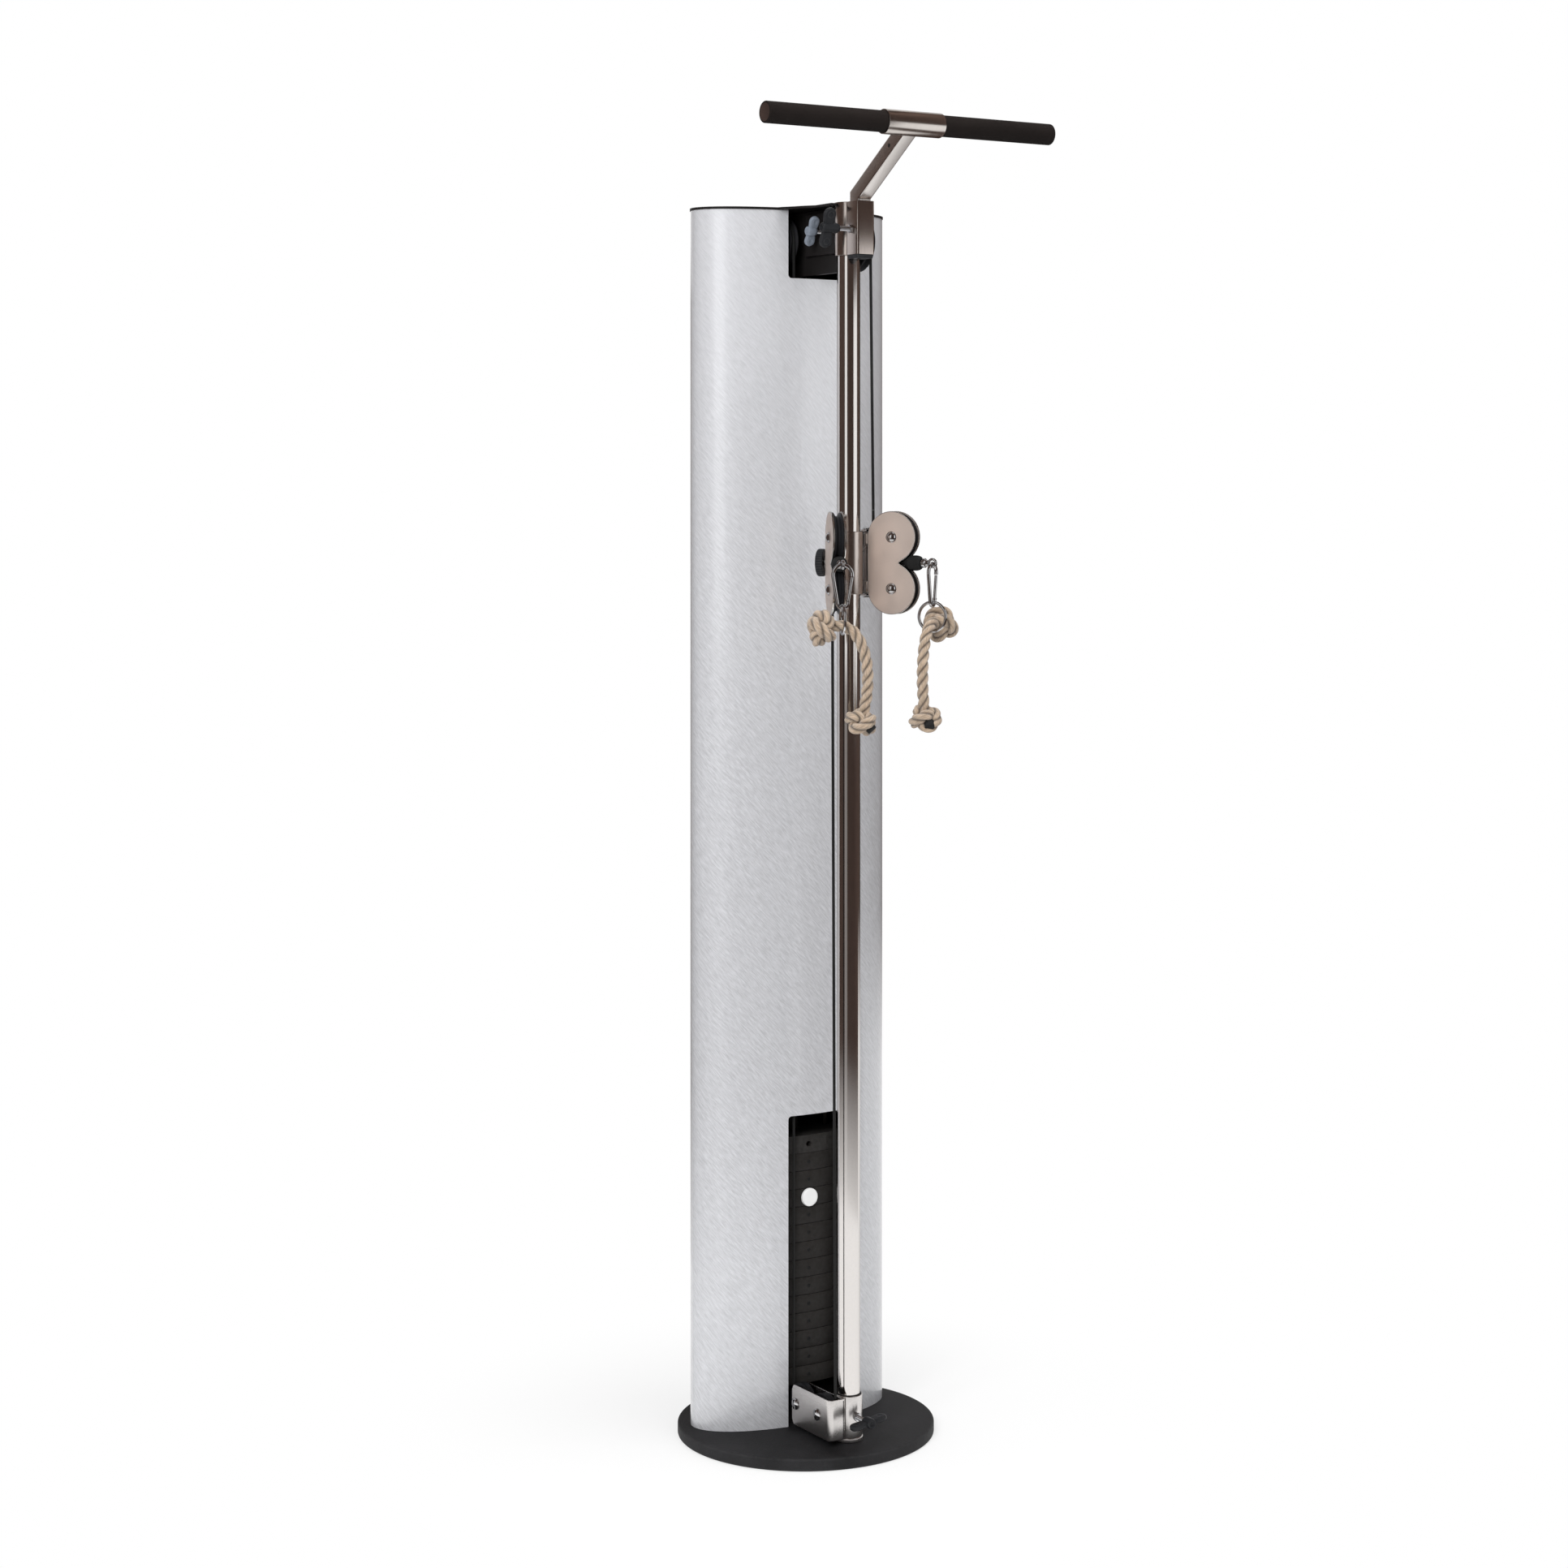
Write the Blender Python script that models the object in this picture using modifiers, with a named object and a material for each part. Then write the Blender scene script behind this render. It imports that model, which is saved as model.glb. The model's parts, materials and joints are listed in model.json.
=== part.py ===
"""Column cable machine with two swivelling pulley blocks and a lift-out T handle.

Run with: blender --background --python part.py
Units are metres and +Z is up.
The origin is the centre of the base plate's underside, and the front of the machine faces -Y.
"""

import math

import bmesh
import bpy
from mathutils import Matrix, Vector

# Clearances
SEAT_GAP = 0.0003
RUNNING_GAP = 0.0006

# Base plate
BASE_WIDTH = 0.430
BASE_DEPTH = 0.420
BASE_THICKNESS = 0.020
BASE_EDGE_RADIUS = 0.007

# Guide tube in front of the column
TUBE_AHEAD_OF_BASE_CENTRE = 0.130
TUBE_RADIUS = 0.019
TUBE_WALL = 0.003

# Column housing: two half-oval shells, front and rear
COLUMN_BEHIND_TUBE = 0.187
COLUMN_HALF_WIDTH = 0.183
COLUMN_HALF_DEPTH = 0.085
COLUMN_TOP = 2.031
SHELL_WALL = 0.004
SHELL_JOINT_GAP = 0.001
OPENING_HALF_WIDTH = 0.050
OPENING_CORNER_RADIUS = 0.006
WINDOW_TOP = 0.533
NOTCH_HEIGHT = 0.112
COVER_THICKNESS = 0.0038
COVER_OVERHANG = 0.0015
COVER_NOSE_HALF_WIDTH = 0.035

# Inner frame
SPINE_WIDTH = 0.060
SPINE_DEPTH = 0.016
WEB_THICKNESS = 0.008
WEB_HEIGHT = 0.106
FOOT_THICKNESS = 0.006
ROD_BRIDGE_BELOW_TOP = 0.166
ROD_BRIDGE_THICKNESS = 0.008

# Weight stack
PLATE_COUNT = 14
LIFTED_COUNT = 4
PLATE_THICKNESS = 0.029
PLATE_SPACING_GAP = 0.0005
PLATE_HALF_WIDTH = 0.105
PLATE_FRONT_BEHIND_TUBE = 0.121
PLATE_FRONT_BOW = 0.018
PLATE_REAR_BEHIND_CENTRE = 0.058
STACK_BOTTOM = 0.0815
GUIDE_ROD_RADIUS = 0.009
GUIDE_ROD_SPACING = 0.150
SELECTOR_ROD_RADIUS = 0.011
SELECTOR_ROD_BELOW_TOP = 0.002
PLATE_GROOVE_DEPTH = 0.0025
PIN_RADIUS = 0.0040
PIN_HOLE_RADIUS = 0.0052
PIN_HEAD_RADIUS = 0.015
PIN_HEAD_THICKNESS = 0.005
PIN_BITE = 0.008            # how far the pin enters the selector rod
POST_RADIUS = 0.020

# Cable and pulleys
CABLE_RADIUS = 0.0024
PULLEY_AXLE_RADIUS = 0.005
PULLEY_HALF_WIDTH = 0.0080
FLANGE_HEIGHT = 0.0038
BLOCK_FLANGE_HEIGHT = 0.0035
BOTTOM_FLANGE_HEIGHT = 0.0020
CABLE_LINE_ASIDE = 0.034
CABLE_LINE_AHEAD = 0.013
FRONT_TOP_PITCH_RADIUS = 0.044
REAR_TOP_PITCH_RADIUS = 0.0365
TRAVELLING_CLEAR_HEIGHT = 0.032
BOTTOM_PITCH_RADIUS = 0.0305
BOTTOM_PULLEY_ABOVE_BASE = 0.044
BOTTOM_HALF_WIDTH = 0.0065
FRONT_TOP_PULLEY_BELOW_TOP = 0.056

# Top bracket, socket and T handle
BRACKET_HEIGHT = 0.087
BRACKET_ABOVE_COLUMN = 0.006
TONGUE_REACH = 0.116
TONGUE_THICKNESS = 0.006
TONGUE_HOLLOW = 0.008
SLEEVE_RADIUS = 0.0235
SOCKET_SIZE = 0.034
SOCKET_AHEAD = 0.0345
ARM_SIZE = 0.0255
BAR_AHEAD = 0.181
BAR_RISE = 0.101
BAR_LENGTH = 0.545
GRIP_RADIUS = 0.0172
BAR_SLEEVE_RADIUS = 0.021
BAR_SLEEVE_LENGTH = 0.108
ARM_BEND_RISE = 0.009

# Bottom bracket
COLLAR_RADIUS = 0.0225
COLLAR_HEIGHT = 0.0674
FOOT_RING_HEIGHT = 0.008
BOX_LEFT = 0.050
BOX_RIGHT = 0.0215
BOX_FRONT_AHEAD = 0.020
BOX_REAR_BEHIND = 0.0935
BOX_HEIGHT = 0.066
SHEET_THICKNESS = 0.003

# Carriage
CARRIAGE_HEIGHT_AT_REST = 1.450
CARRIAGE_LENGTH = 0.102
CARRIAGE_RADIUS = 0.025
LUG_THICKNESS = 0.003
LUG_HALF_WIDTH = 0.009
HINGE_PIN_RADIUS = 0.003
KNUCKLE_RADIUS = 0.008
KNUCKLE_HEIGHT = 0.022
KNOB_RADIUS = 0.0225
KNOB_DIRECTION_DEGREES = 135.0
KNOB_HOUSING_RADIUS = 0.012
KNOB_HOUSING_END = 0.0395
KNOB_LENGTH = 0.0135

# Pulley blocks
LEFT_BLOCK_SWIVEL_DEGREES = -24.0
RIGHT_BLOCK_SWIVEL_DEGREES = 32.0
BLOCK_PITCH_RADIUS = 0.037
BLOCK_LOBE_RADIUS = 0.042
BLOCK_PULLEY_SPACING = 0.084
BLOCK_INNER_HALF_WIDTH = 0.008
BLOCK_CHEEK_THICKNESS = 0.003
BLOCK_AXLE_RADIUS = 0.004
BLOCK_SCREW_HEAD_RADIUS = 0.009
NOTCH_DEPTH = 0.0118
STOPPER_REAR_AHEAD = 0.0695
STOPPER_LENGTH = 0.0305
STOPPER_RADIUS = 0.0125
EYE_AHEAD = 0.118
EYE_OUTER_RADIUS = 0.0085
EYE_WIRE_RADIUS = 0.0021

# Snap hook, ring and rope
HOOK_WIRE_RADIUS = 0.0030
HOOK_TOP_RADIUS = 0.0155
HOOK_BOTTOM_RADIUS = 0.0085
HOOK_CENTRE_DISTANCE = 0.0445
GATE_RADIUS = 0.0026
GATE_TIP_GAP = 0.0013
RING_RADIUS = 0.0235
RING_WIRE_RADIUS = 0.0025
ROPE_RADIUS = 0.0095
KNOT_RADIUS = 0.0255
KNOT_ASIDE = 0.034
ROPE_SWING = 0.040
ROPE_DROP = 0.152

# Wing screws: span, paddle width, hub length, bolt length
HANDLE_WING = (0.066, 0.022, 0.033, 0.026)
BRACKET_WING = (0.050, 0.016, 0.018, 0.006)
COLLAR_WING = (0.068, 0.022, 0.022, 0.018)
HANDLE_WING_BELOW_TOP = 0.046
BRACKET_WING_BELOW_TOP = 0.043
COLLAR_WING_ABOVE_BASE = 0.043
WING_THICKNESS = 0.008
WING_HUB_RADIUS = 0.0085
WING_BOLT_RADIUS = 0.004

# Derived places
TUBE_Y = -TUBE_AHEAD_OF_BASE_CENTRE
COLUMN_Y = TUBE_Y + COLUMN_BEHIND_TUBE
BASE_TOP = BASE_THICKNESS
BRACKET_TOP = COLUMN_TOP + BRACKET_ABOVE_COLUMN
BRACKET_BOTTOM = BRACKET_TOP - BRACKET_HEIGHT
NOTCH_BOTTOM = COLUMN_TOP - NOTCH_HEIGHT
WEB_BOTTOM = COLUMN_TOP - WEB_HEIGHT
ROD_BRIDGE_BOTTOM = COLUMN_TOP - ROD_BRIDGE_BELOW_TOP
FRONT_TOP_PULLEY_HEIGHT = COLUMN_TOP - FRONT_TOP_PULLEY_BELOW_TOP
BOTTOM_PULLEY_HEIGHT = BASE_TOP + BOTTOM_PULLEY_ABOVE_BASE
ARM_BEND_HEIGHT = BRACKET_TOP + ARM_BEND_RISE
BAR_HEIGHT = ARM_BEND_HEIGHT + BAR_RISE
COLLAR_BOTTOM = BASE_TOP + FOOT_RING_HEIGHT + SEAT_GAP * 2
COLLAR_TOP = COLLAR_BOTTOM + COLLAR_HEIGHT
BOX_BOTTOM = COLLAR_BOTTOM + SEAT_GAP
BOX_TOP = BOX_BOTTOM + BOX_HEIGHT
HANDLE_WING_HEIGHT = BRACKET_TOP - HANDLE_WING_BELOW_TOP
BRACKET_WING_HEIGHT = BRACKET_TOP - BRACKET_WING_BELOW_TOP
COLLAR_WING_HEIGHT = BASE_TOP + COLLAR_WING_ABOVE_BASE
TUBE_BORE = TUBE_RADIUS + SEAT_GAP
PLATE_PITCH = PLATE_THICKNESS + PLATE_SPACING_GAP
HEAD_PLATE_TOP = STACK_BOTTOM + PLATE_COUNT * PLATE_PITCH - PLATE_SPACING_GAP
TRAVELLING_PITCH_RADIUS = CABLE_LINE_ASIDE
TRAVELLING_HEIGHT = HEAD_PLATE_TOP + TRAVELLING_CLEAR_HEIGHT + TRAVELLING_PITCH_RADIUS + FLANGE_HEIGHT
FRONT_CABLE_Y = TUBE_Y - CABLE_LINE_AHEAD
STACK_CABLE_Y = COLUMN_Y
FRONT_TOP_Y = FRONT_CABLE_Y + FRONT_TOP_PITCH_RADIUS
REAR_TOP_Y = STACK_CABLE_Y - REAR_TOP_PITCH_RADIUS
RETURN_CABLE_Y = REAR_TOP_Y - REAR_TOP_PITCH_RADIUS
REAR_TOP_HEIGHT = FRONT_TOP_PULLEY_HEIGHT + FRONT_TOP_PITCH_RADIUS - REAR_TOP_PITCH_RADIUS
BOTTOM_FRONT_Y = FRONT_CABLE_Y + BOTTOM_PITCH_RADIUS
BOTTOM_REAR_Y = RETURN_CABLE_Y - BOTTOM_PITCH_RADIUS
BLOCK_PULLEY_AHEAD = CABLE_LINE_AHEAD + BLOCK_PITCH_RADIUS
BLOCK_OUTER_HALF_WIDTH = BLOCK_INNER_HALF_WIDTH + BLOCK_CHEEK_THICKNESS
BLOCK_HALF_HEIGHT = BLOCK_PULLEY_SPACING / 2 + BLOCK_LOBE_RADIUS
CABLE_PARTING = BLOCK_HALF_HEIGHT + 0.002
SPINE_REAR_Y = COLUMN_Y + COLUMN_HALF_DEPTH - SHELL_WALL - 0.0035
SPINE_FRONT_Y = SPINE_REAR_Y - SPINE_DEPTH
COLLECTION_NAME = "cable_machine"


def clear_scene():
    for obj in list(bpy.data.objects):
        bpy.data.objects.remove(obj, do_unlink=True)


def make_collection(name):
    collection = bpy.data.collections.new(name)
    bpy.context.scene.collection.children.link(collection)
    return collection


clear_scene()
PARTS = make_collection(COLLECTION_NAME)
CUTTERS = make_collection(COLLECTION_NAME + "_cutters")


def material(name, colour, roughness, metallic):
    found = bpy.data.materials.get(name)
    if found:
        return found
    new = bpy.data.materials.new(name)
    new.use_nodes = True
    shader = new.node_tree.nodes["Principled BSDF"]
    shader.inputs["Base Color"].default_value = (*colour, 1.0)
    shader.inputs["Roughness"].default_value = roughness
    shader.inputs["Metallic"].default_value = metallic
    return new


BLACK_STEEL = material("black_steel", (0.02, 0.02, 0.022), 0.45, 0.3)
BASE_COATING = material("base_coating", (0.05, 0.05, 0.05), 0.7, 0.0)
BRUSHED_SHELL = material("brushed_shell", (0.55, 0.55, 0.57), 0.45, 0.7)
POLISHED_STEEL = material("polished_steel", (0.75, 0.73, 0.70), 0.12, 1.0)
SATIN_STEEL = material("satin_steel", (0.60, 0.56, 0.52), 0.35, 1.0)
IRON_PLATE = material("iron_plate", (0.035, 0.033, 0.03), 0.6, 0.2)
BLACK_PLASTIC = material("black_plastic", (0.03, 0.03, 0.032), 0.5, 0.0)
BLACK_RUBBER = material("black_rubber", (0.02, 0.02, 0.02), 0.75, 0.0)
WHITE_PLASTIC = material("white_plastic", (0.85, 0.85, 0.85), 0.35, 0.0)
CABLE_SKIN = material("cable_skin", (0.015, 0.015, 0.015), 0.4, 0.0)
HEMP = material("hemp", (0.62, 0.48, 0.30), 0.9, 0.0)


def finish(obj, surface, collection=None):
    """Link a part, give it its material and smooth its round faces."""
    (collection or PARTS).objects.link(obj)
    obj.data.materials.clear()
    obj.data.materials.append(surface)
    if obj.type == "MESH":
        obj.data.shade_smooth()
        obj.data.set_sharp_from_angle(angle=math.radians(35))
    return obj


def as_cutter(obj):
    """Move an object among the cutters, which are no parts of the machine."""
    for collection in list(obj.users_collection):
        collection.objects.unlink(obj)
    CUTTERS.objects.link(obj)
    obj.hide_render = True
    obj.display_type = "WIRE"
    return obj


def boolean(obj, other, operation):
    modifier = obj.modifiers.new(operation.lower(), "BOOLEAN")
    modifier.operation = operation
    modifier.solver = "EXACT"
    modifier.object = as_cutter(other)
    return obj


def cut(obj, *others):
    for other in others:
        boolean(obj, other, "DIFFERENCE")
    return obj


def weld_on(obj, *others):
    for other in others:
        boolean(obj, other, "UNION")
    return obj


def baked(obj):
    """Replace an object by the mesh that its modifiers or its curve make."""
    bpy.context.view_layer.update()
    evaluated = obj.evaluated_get(bpy.context.evaluated_depsgraph_get())
    mesh = bpy.data.meshes.new_from_object(evaluated)
    work = bmesh.new()
    work.from_mesh(mesh)
    bmesh.ops.remove_doubles(work, verts=work.verts, dist=0.00002)
    bmesh.ops.recalc_face_normals(work, faces=work.faces)
    work.to_mesh(mesh)
    work.free()
    name = obj.name
    surface = obj.data.materials[0]
    placed = obj.matrix_world.copy()
    parent = obj.parent
    bpy.data.objects.remove(obj, do_unlink=True)
    new = bpy.data.objects.new(name, mesh)
    finish(new, surface)
    new.parent = parent
    new.matrix_world = placed
    return new


def box(name, surface, low, high, bevel=0.0):
    low, high = Vector(low), Vector(high)
    work = bmesh.new()
    bmesh.ops.create_cube(work, size=1.0)
    bmesh.ops.scale(work, vec=high - low, verts=work.verts)
    mesh = bpy.data.meshes.new(name)
    work.to_mesh(mesh)
    work.free()
    obj = bpy.data.objects.new(name, mesh)
    obj.location = (low + high) / 2
    finish(obj, surface)
    if bevel:
        modifier = obj.modifiers.new("edges", "BEVEL")
        modifier.width = bevel
        modifier.segments = 2
    return obj


AXIS_TURN = {
    "X": Matrix.Rotation(math.pi / 2, 4, "Y"),
    "-X": Matrix.Rotation(-math.pi / 2, 4, "Y"),
    "Y": Matrix.Rotation(-math.pi / 2, 4, "X"),
    "-Y": Matrix.Rotation(math.pi / 2, 4, "X"),
    "Z": Matrix.Identity(4),
}


def turned(name, surface, profile, place=(0, 0, 0), axis="Z", steps=24):
    """Revolve a profile of (radius, height) points, listed down its outer side.

    A profile that starts and ends on the axis makes a solid, and one that stays
    off it is closed into a ring.
    """
    mesh = bpy.data.meshes.new(name)
    work = bmesh.new()
    points = [work.verts.new((radius, 0.0, height)) for radius, height in profile]
    for first, second in zip(points, points[1:]):
        work.edges.new((first, second))
    if profile[0][0] > 0:
        work.edges.new((points[-1], points[0]))
    work.to_mesh(mesh)
    work.free()
    obj = bpy.data.objects.new(name, mesh)
    turn = AXIS_TURN[axis] if isinstance(axis, str) else axis
    obj.matrix_world = Matrix.Translation(place) @ turn
    finish(obj, surface)
    screw = obj.modifiers.new("turn", "SCREW")
    screw.axis = "Z"
    screw.angle = math.tau
    screw.steps = steps
    screw.render_steps = steps
    screw.use_merge_vertices = True
    screw.merge_threshold = 0.00001
    screw.use_smooth_shade = True
    return obj


def rod(name, surface, radius, start, end, place=(0, 0, 0), axis="Z", steps=16):
    profile = [(0, end), (radius, end), (radius, start), (0, start)]
    return turned(name, surface, profile, place, axis, steps)


def ring_body(name, surface, outer, inner, start, end, place=(0, 0, 0), axis="Z", steps=24):
    profile = [(inner, end), (outer, end), (outer, start), (inner, start)]
    return turned(name, surface, profile, place, axis, steps)


def circle(radius, centre=(0.0, 0.0), count=16):
    return [
        (centre[0] + radius * math.cos(math.tau * i / count),
         centre[1] + radius * math.sin(math.tau * i / count))
        for i in range(count)
    ]


def arc(centre, radius, start, end, count):
    """Points on an arc, with angles in degrees."""
    return [
        (centre[0] + radius * math.cos(math.radians(start + (end - start) * i / count)),
         centre[1] + radius * math.sin(math.radians(start + (end - start) * i / count)))
        for i in range(count + 1)
    ]


def plate(name, surface, outline, thickness, holes=(), matrix=None):
    """Extrude a flat outline with its holes, centred on its own plane."""
    data = bpy.data.curves.new(name, "CURVE")
    data.dimensions = "2D"
    data.fill_mode = "BOTH"
    data.extrude = thickness / 2
    for loop in (outline, *holes):
        spline = data.splines.new("POLY")
        spline.points.add(len(loop) - 1)
        for point, (x, y) in zip(spline.points, loop):
            point.co = (x, y, 0.0, 1.0)
        spline.use_cyclic_u = True
    obj = bpy.data.objects.new(name, data)
    PARTS.objects.link(obj)
    data.materials.append(surface)
    obj.matrix_world = matrix or Matrix.Identity(4)
    return baked(obj)


def flat(z):
    return Matrix.Translation((0, 0, z))


# A plate drawn in (y, z) and extruded along X
UPRIGHT = Matrix(((0, 0, 1, 0), (1, 0, 0, 0), (0, 1, 0, 0), (0, 0, 0, 1)))
# A plate drawn in (x, z) and extruded along Y
FACING = Matrix(((1, 0, 0, 0), (0, 0, -1, 0), (0, 1, 0, 0), (0, 0, 0, 1)))


def wire(name, surface, points, radius, cyclic=False, resolution=2, matrix=None):
    """A round bar or cable along a list of points."""
    data = bpy.data.curves.new(name, "CURVE")
    data.dimensions = "3D"
    data.bevel_depth = radius
    data.bevel_resolution = resolution
    data.use_fill_caps = not cyclic
    spline = data.splines.new("POLY")
    spline.points.add(len(points) - 1)
    for point, co in zip(spline.points, points):
        point.co = (*co, 1.0)
    spline.use_cyclic_u = cyclic
    obj = bpy.data.objects.new(name, data)
    PARTS.objects.link(obj)
    data.materials.append(surface)
    obj.matrix_world = matrix or Matrix.Identity(4)
    return baked(obj)


def oval(half_width, half_depth, start, end, count):
    """Points of an oval about the column's centre line, angles in degrees."""
    points = []
    for i in range(count + 1):
        angle = math.radians(start + (end - start) * i / count)
        points.append((half_width * math.cos(angle), COLUMN_Y + half_depth * math.sin(angle)))
    return points


def rounded_rectangle(x0, x1, z0, z1, radius, count=3):
    return [
        *arc((x1 - radius, z1 - radius), radius, 0, 90, count),
        *arc((x0 + radius, z1 - radius), radius, 90, 180, count),
        *arc((x0 + radius, z0 + radius), radius, 180, 270, count),
        *arc((x1 - radius, z0 + radius), radius, 270, 360, count),
    ]


def base_plate():
    outline = [
        (BASE_WIDTH / 2 * math.cos(math.tau * i / 40), BASE_DEPTH / 2 * math.sin(math.tau * i / 40))
        for i in range(40)
    ]
    obj = plate("base_plate", BASE_COATING, outline, BASE_THICKNESS, matrix=flat(BASE_THICKNESS / 2))
    edges = obj.modifiers.new("rounded_edge", "BEVEL")
    edges.width = BASE_EDGE_RADIUS
    edges.segments = 2
    edges.limit_method = "ANGLE"
    edges.angle_limit = math.radians(60)
    return obj


def shell(name, start, end):
    """Half of the oval housing, from one side seam round to the other."""
    inset = math.degrees(SHELL_JOINT_GAP / 2 / COLUMN_HALF_DEPTH)
    outer = oval(COLUMN_HALF_WIDTH, COLUMN_HALF_DEPTH, start + inset, end - inset, 28)
    inner = oval(COLUMN_HALF_WIDTH - SHELL_WALL, COLUMN_HALF_DEPTH - SHELL_WALL,
                 end - inset, start + inset, 28)
    low = BASE_TOP + SEAT_GAP
    return plate(name, BRUSHED_SHELL, outer + inner, COLUMN_TOP - low, matrix=flat((COLUMN_TOP + low) / 2))


def housing():
    front = shell("front_shell", 180, 360)
    depth = 2 * COLUMN_HALF_DEPTH
    middle = COLUMN_Y - COLUMN_HALF_DEPTH - depth / 2 + COLUMN_HALF_DEPTH / 2
    for label, low, high in (
        ("window", BASE_TOP - 0.02, WINDOW_TOP),
        ("notch", NOTCH_BOTTOM, COLUMN_TOP + 0.02),
    ):
        hole = rounded_rectangle(-OPENING_HALF_WIDTH, OPENING_HALF_WIDTH, low, high, OPENING_CORNER_RADIUS)
        cut(front, plate(label + "_cutter", BRUSHED_SHELL, hole, depth,
                         matrix=Matrix.Translation((0, middle, 0)) @ FACING))
    shell("rear_shell", 0, 180)


def cover():
    """Black lid that follows the oval and reaches forward round the tube's sleeve."""
    half_width = COLUMN_HALF_WIDTH + COVER_OVERHANG
    half_depth = COLUMN_HALF_DEPTH + COVER_OVERHANG
    nose_front = TUBE_Y - 0.002
    nose = COVER_NOSE_HALF_WIDTH
    flare = [(-0.067, TUBE_Y + 0.099), (-0.055, TUBE_Y + 0.079), (-0.047, TUBE_Y + 0.062),
             (-nose, TUBE_Y + 0.045), (-nose, nose_front)]
    recess = SLEEVE_RADIUS + RUNNING_GAP * 2
    bay = [
        (recess * math.cos(math.radians(a)), TUBE_Y + recess * math.sin(math.radians(a)))
        for a in range(180, -1, -20)
    ]
    rim = oval(half_width, half_depth, -68, 248, 40)
    outline = rim + flare + [(-recess, nose_front), *bay, (recess, nose_front)]
    outline += [(-x, y) for x, y in reversed(flare)]
    plate("top_cover", BLACK_STEEL, outline, COVER_THICKNESS,
          matrix=flat(COLUMN_TOP + SEAT_GAP + COVER_THICKNESS / 2))


def inner_frame():
    """Welded black frame: foot, spine, head web and the bridge that holds the guide rods."""
    low = BASE_TOP + SEAT_GAP
    top = COLUMN_TOP
    spine = box("inner_frame", BLACK_STEEL, (-SPINE_WIDTH / 2, SPINE_FRONT_Y, low),
                (SPINE_WIDTH / 2, SPINE_REAR_Y, top))
    foot = plate("foot", BLACK_STEEL, [
        (x * 0.62, COLUMN_Y + (y - COLUMN_Y) * 0.80)
        for x, y in oval(COLUMN_HALF_WIDTH, COLUMN_HALF_DEPTH, 0, 340, 17)
    ], FOOT_THICKNESS, matrix=flat(low + FOOT_THICKNESS / 2))
    web_front = TUBE_Y + SLEEVE_RADIUS + SEAT_GAP
    web = box("web", BLACK_STEEL, (-WEB_THICKNESS / 2, web_front, WEB_BOTTOM),
              (WEB_THICKNESS / 2, SPINE_FRONT_Y + 0.002, top))
    bridge = plate("bridge", BLACK_STEEL, [
        (-0.100, COLUMN_Y - 0.015), (0.100, COLUMN_Y - 0.015), (0.100, COLUMN_Y + 0.015),
        (SPINE_WIDTH / 2, SPINE_FRONT_Y + 0.002), (-SPINE_WIDTH / 2, SPINE_FRONT_Y + 0.002),
        (-0.100, COLUMN_Y + 0.015),
    ], ROD_BRIDGE_THICKNESS, holes=[
        circle(CABLE_RADIUS + 0.004, (side * CABLE_LINE_ASIDE, STACK_CABLE_Y), 12) for side in (-1, 1)
    ], matrix=flat(ROD_BRIDGE_BOTTOM + ROD_BRIDGE_THICKNESS / 2))
    weld_on(spine, foot, web, bridge)
    foot_top = low + FOOT_THICKNESS
    for side, label in ((-1, "left"), (1, "right")):
        place = (side * GUIDE_ROD_SPACING / 2, COLUMN_Y, 0)
        weld_on(spine, ring_body("post", BLACK_STEEL, POST_RADIUS, GUIDE_ROD_RADIUS + RUNNING_GAP * 2,
                                 foot_top - 0.001, STACK_BOTTOM - SEAT_GAP, place, steps=12))
        rod(label + "_guide_rod", POLISHED_STEEL, GUIDE_ROD_RADIUS, foot_top + SEAT_GAP,
            ROD_BRIDGE_BOTTOM - SEAT_GAP, place, steps=10)
    inner = CABLE_LINE_ASIDE - PULLEY_HALF_WIDTH - SEAT_GAP
    outer = CABLE_LINE_ASIDE + PULLEY_HALF_WIDTH + SEAT_GAP
    shoulder = PULLEY_AXLE_RADIUS + 0.002
    profile = [(0, outer + 0.004), (shoulder - 0.001, outer + 0.004), (shoulder, outer + 0.003),
               (shoulder, outer), (PULLEY_AXLE_RADIUS, outer), (PULLEY_AXLE_RADIUS, inner),
               (shoulder, inner), (shoulder, 0), (0, 0)]
    for y, z, axis in (
        (FRONT_TOP_Y, FRONT_TOP_PULLEY_HEIGHT, "X"),
        (REAR_TOP_Y, REAR_TOP_HEIGHT, "X"),
        (REAR_TOP_Y, REAR_TOP_HEIGHT, "-X"),
    ):
        weld_on(spine, turned("stud", BLACK_STEEL, profile, (0, y, z), axis, steps=10))


def plate_outline(inset=0.0):
    """Weight plate seen from above: bowed front, straight sides and back."""
    bow_radius = (PLATE_HALF_WIDTH ** 2 + PLATE_FRONT_BOW ** 2) / (2 * PLATE_FRONT_BOW)
    side = PLATE_HALF_WIDTH - inset
    reach = math.degrees(math.asin(side / (bow_radius - inset)))
    centre = (0.0, TUBE_Y + PLATE_FRONT_BEHIND_TUBE + bow_radius)
    rear = COLUMN_Y + PLATE_REAR_BEHIND_CENTRE - inset
    return [*arc(centre, bow_radius - inset, 270 - reach, 270 + reach, 6),
            (side, rear - 0.012), (side - 0.012, rear), (-side + 0.012, rear), (-side, rear - 0.012)]


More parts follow.
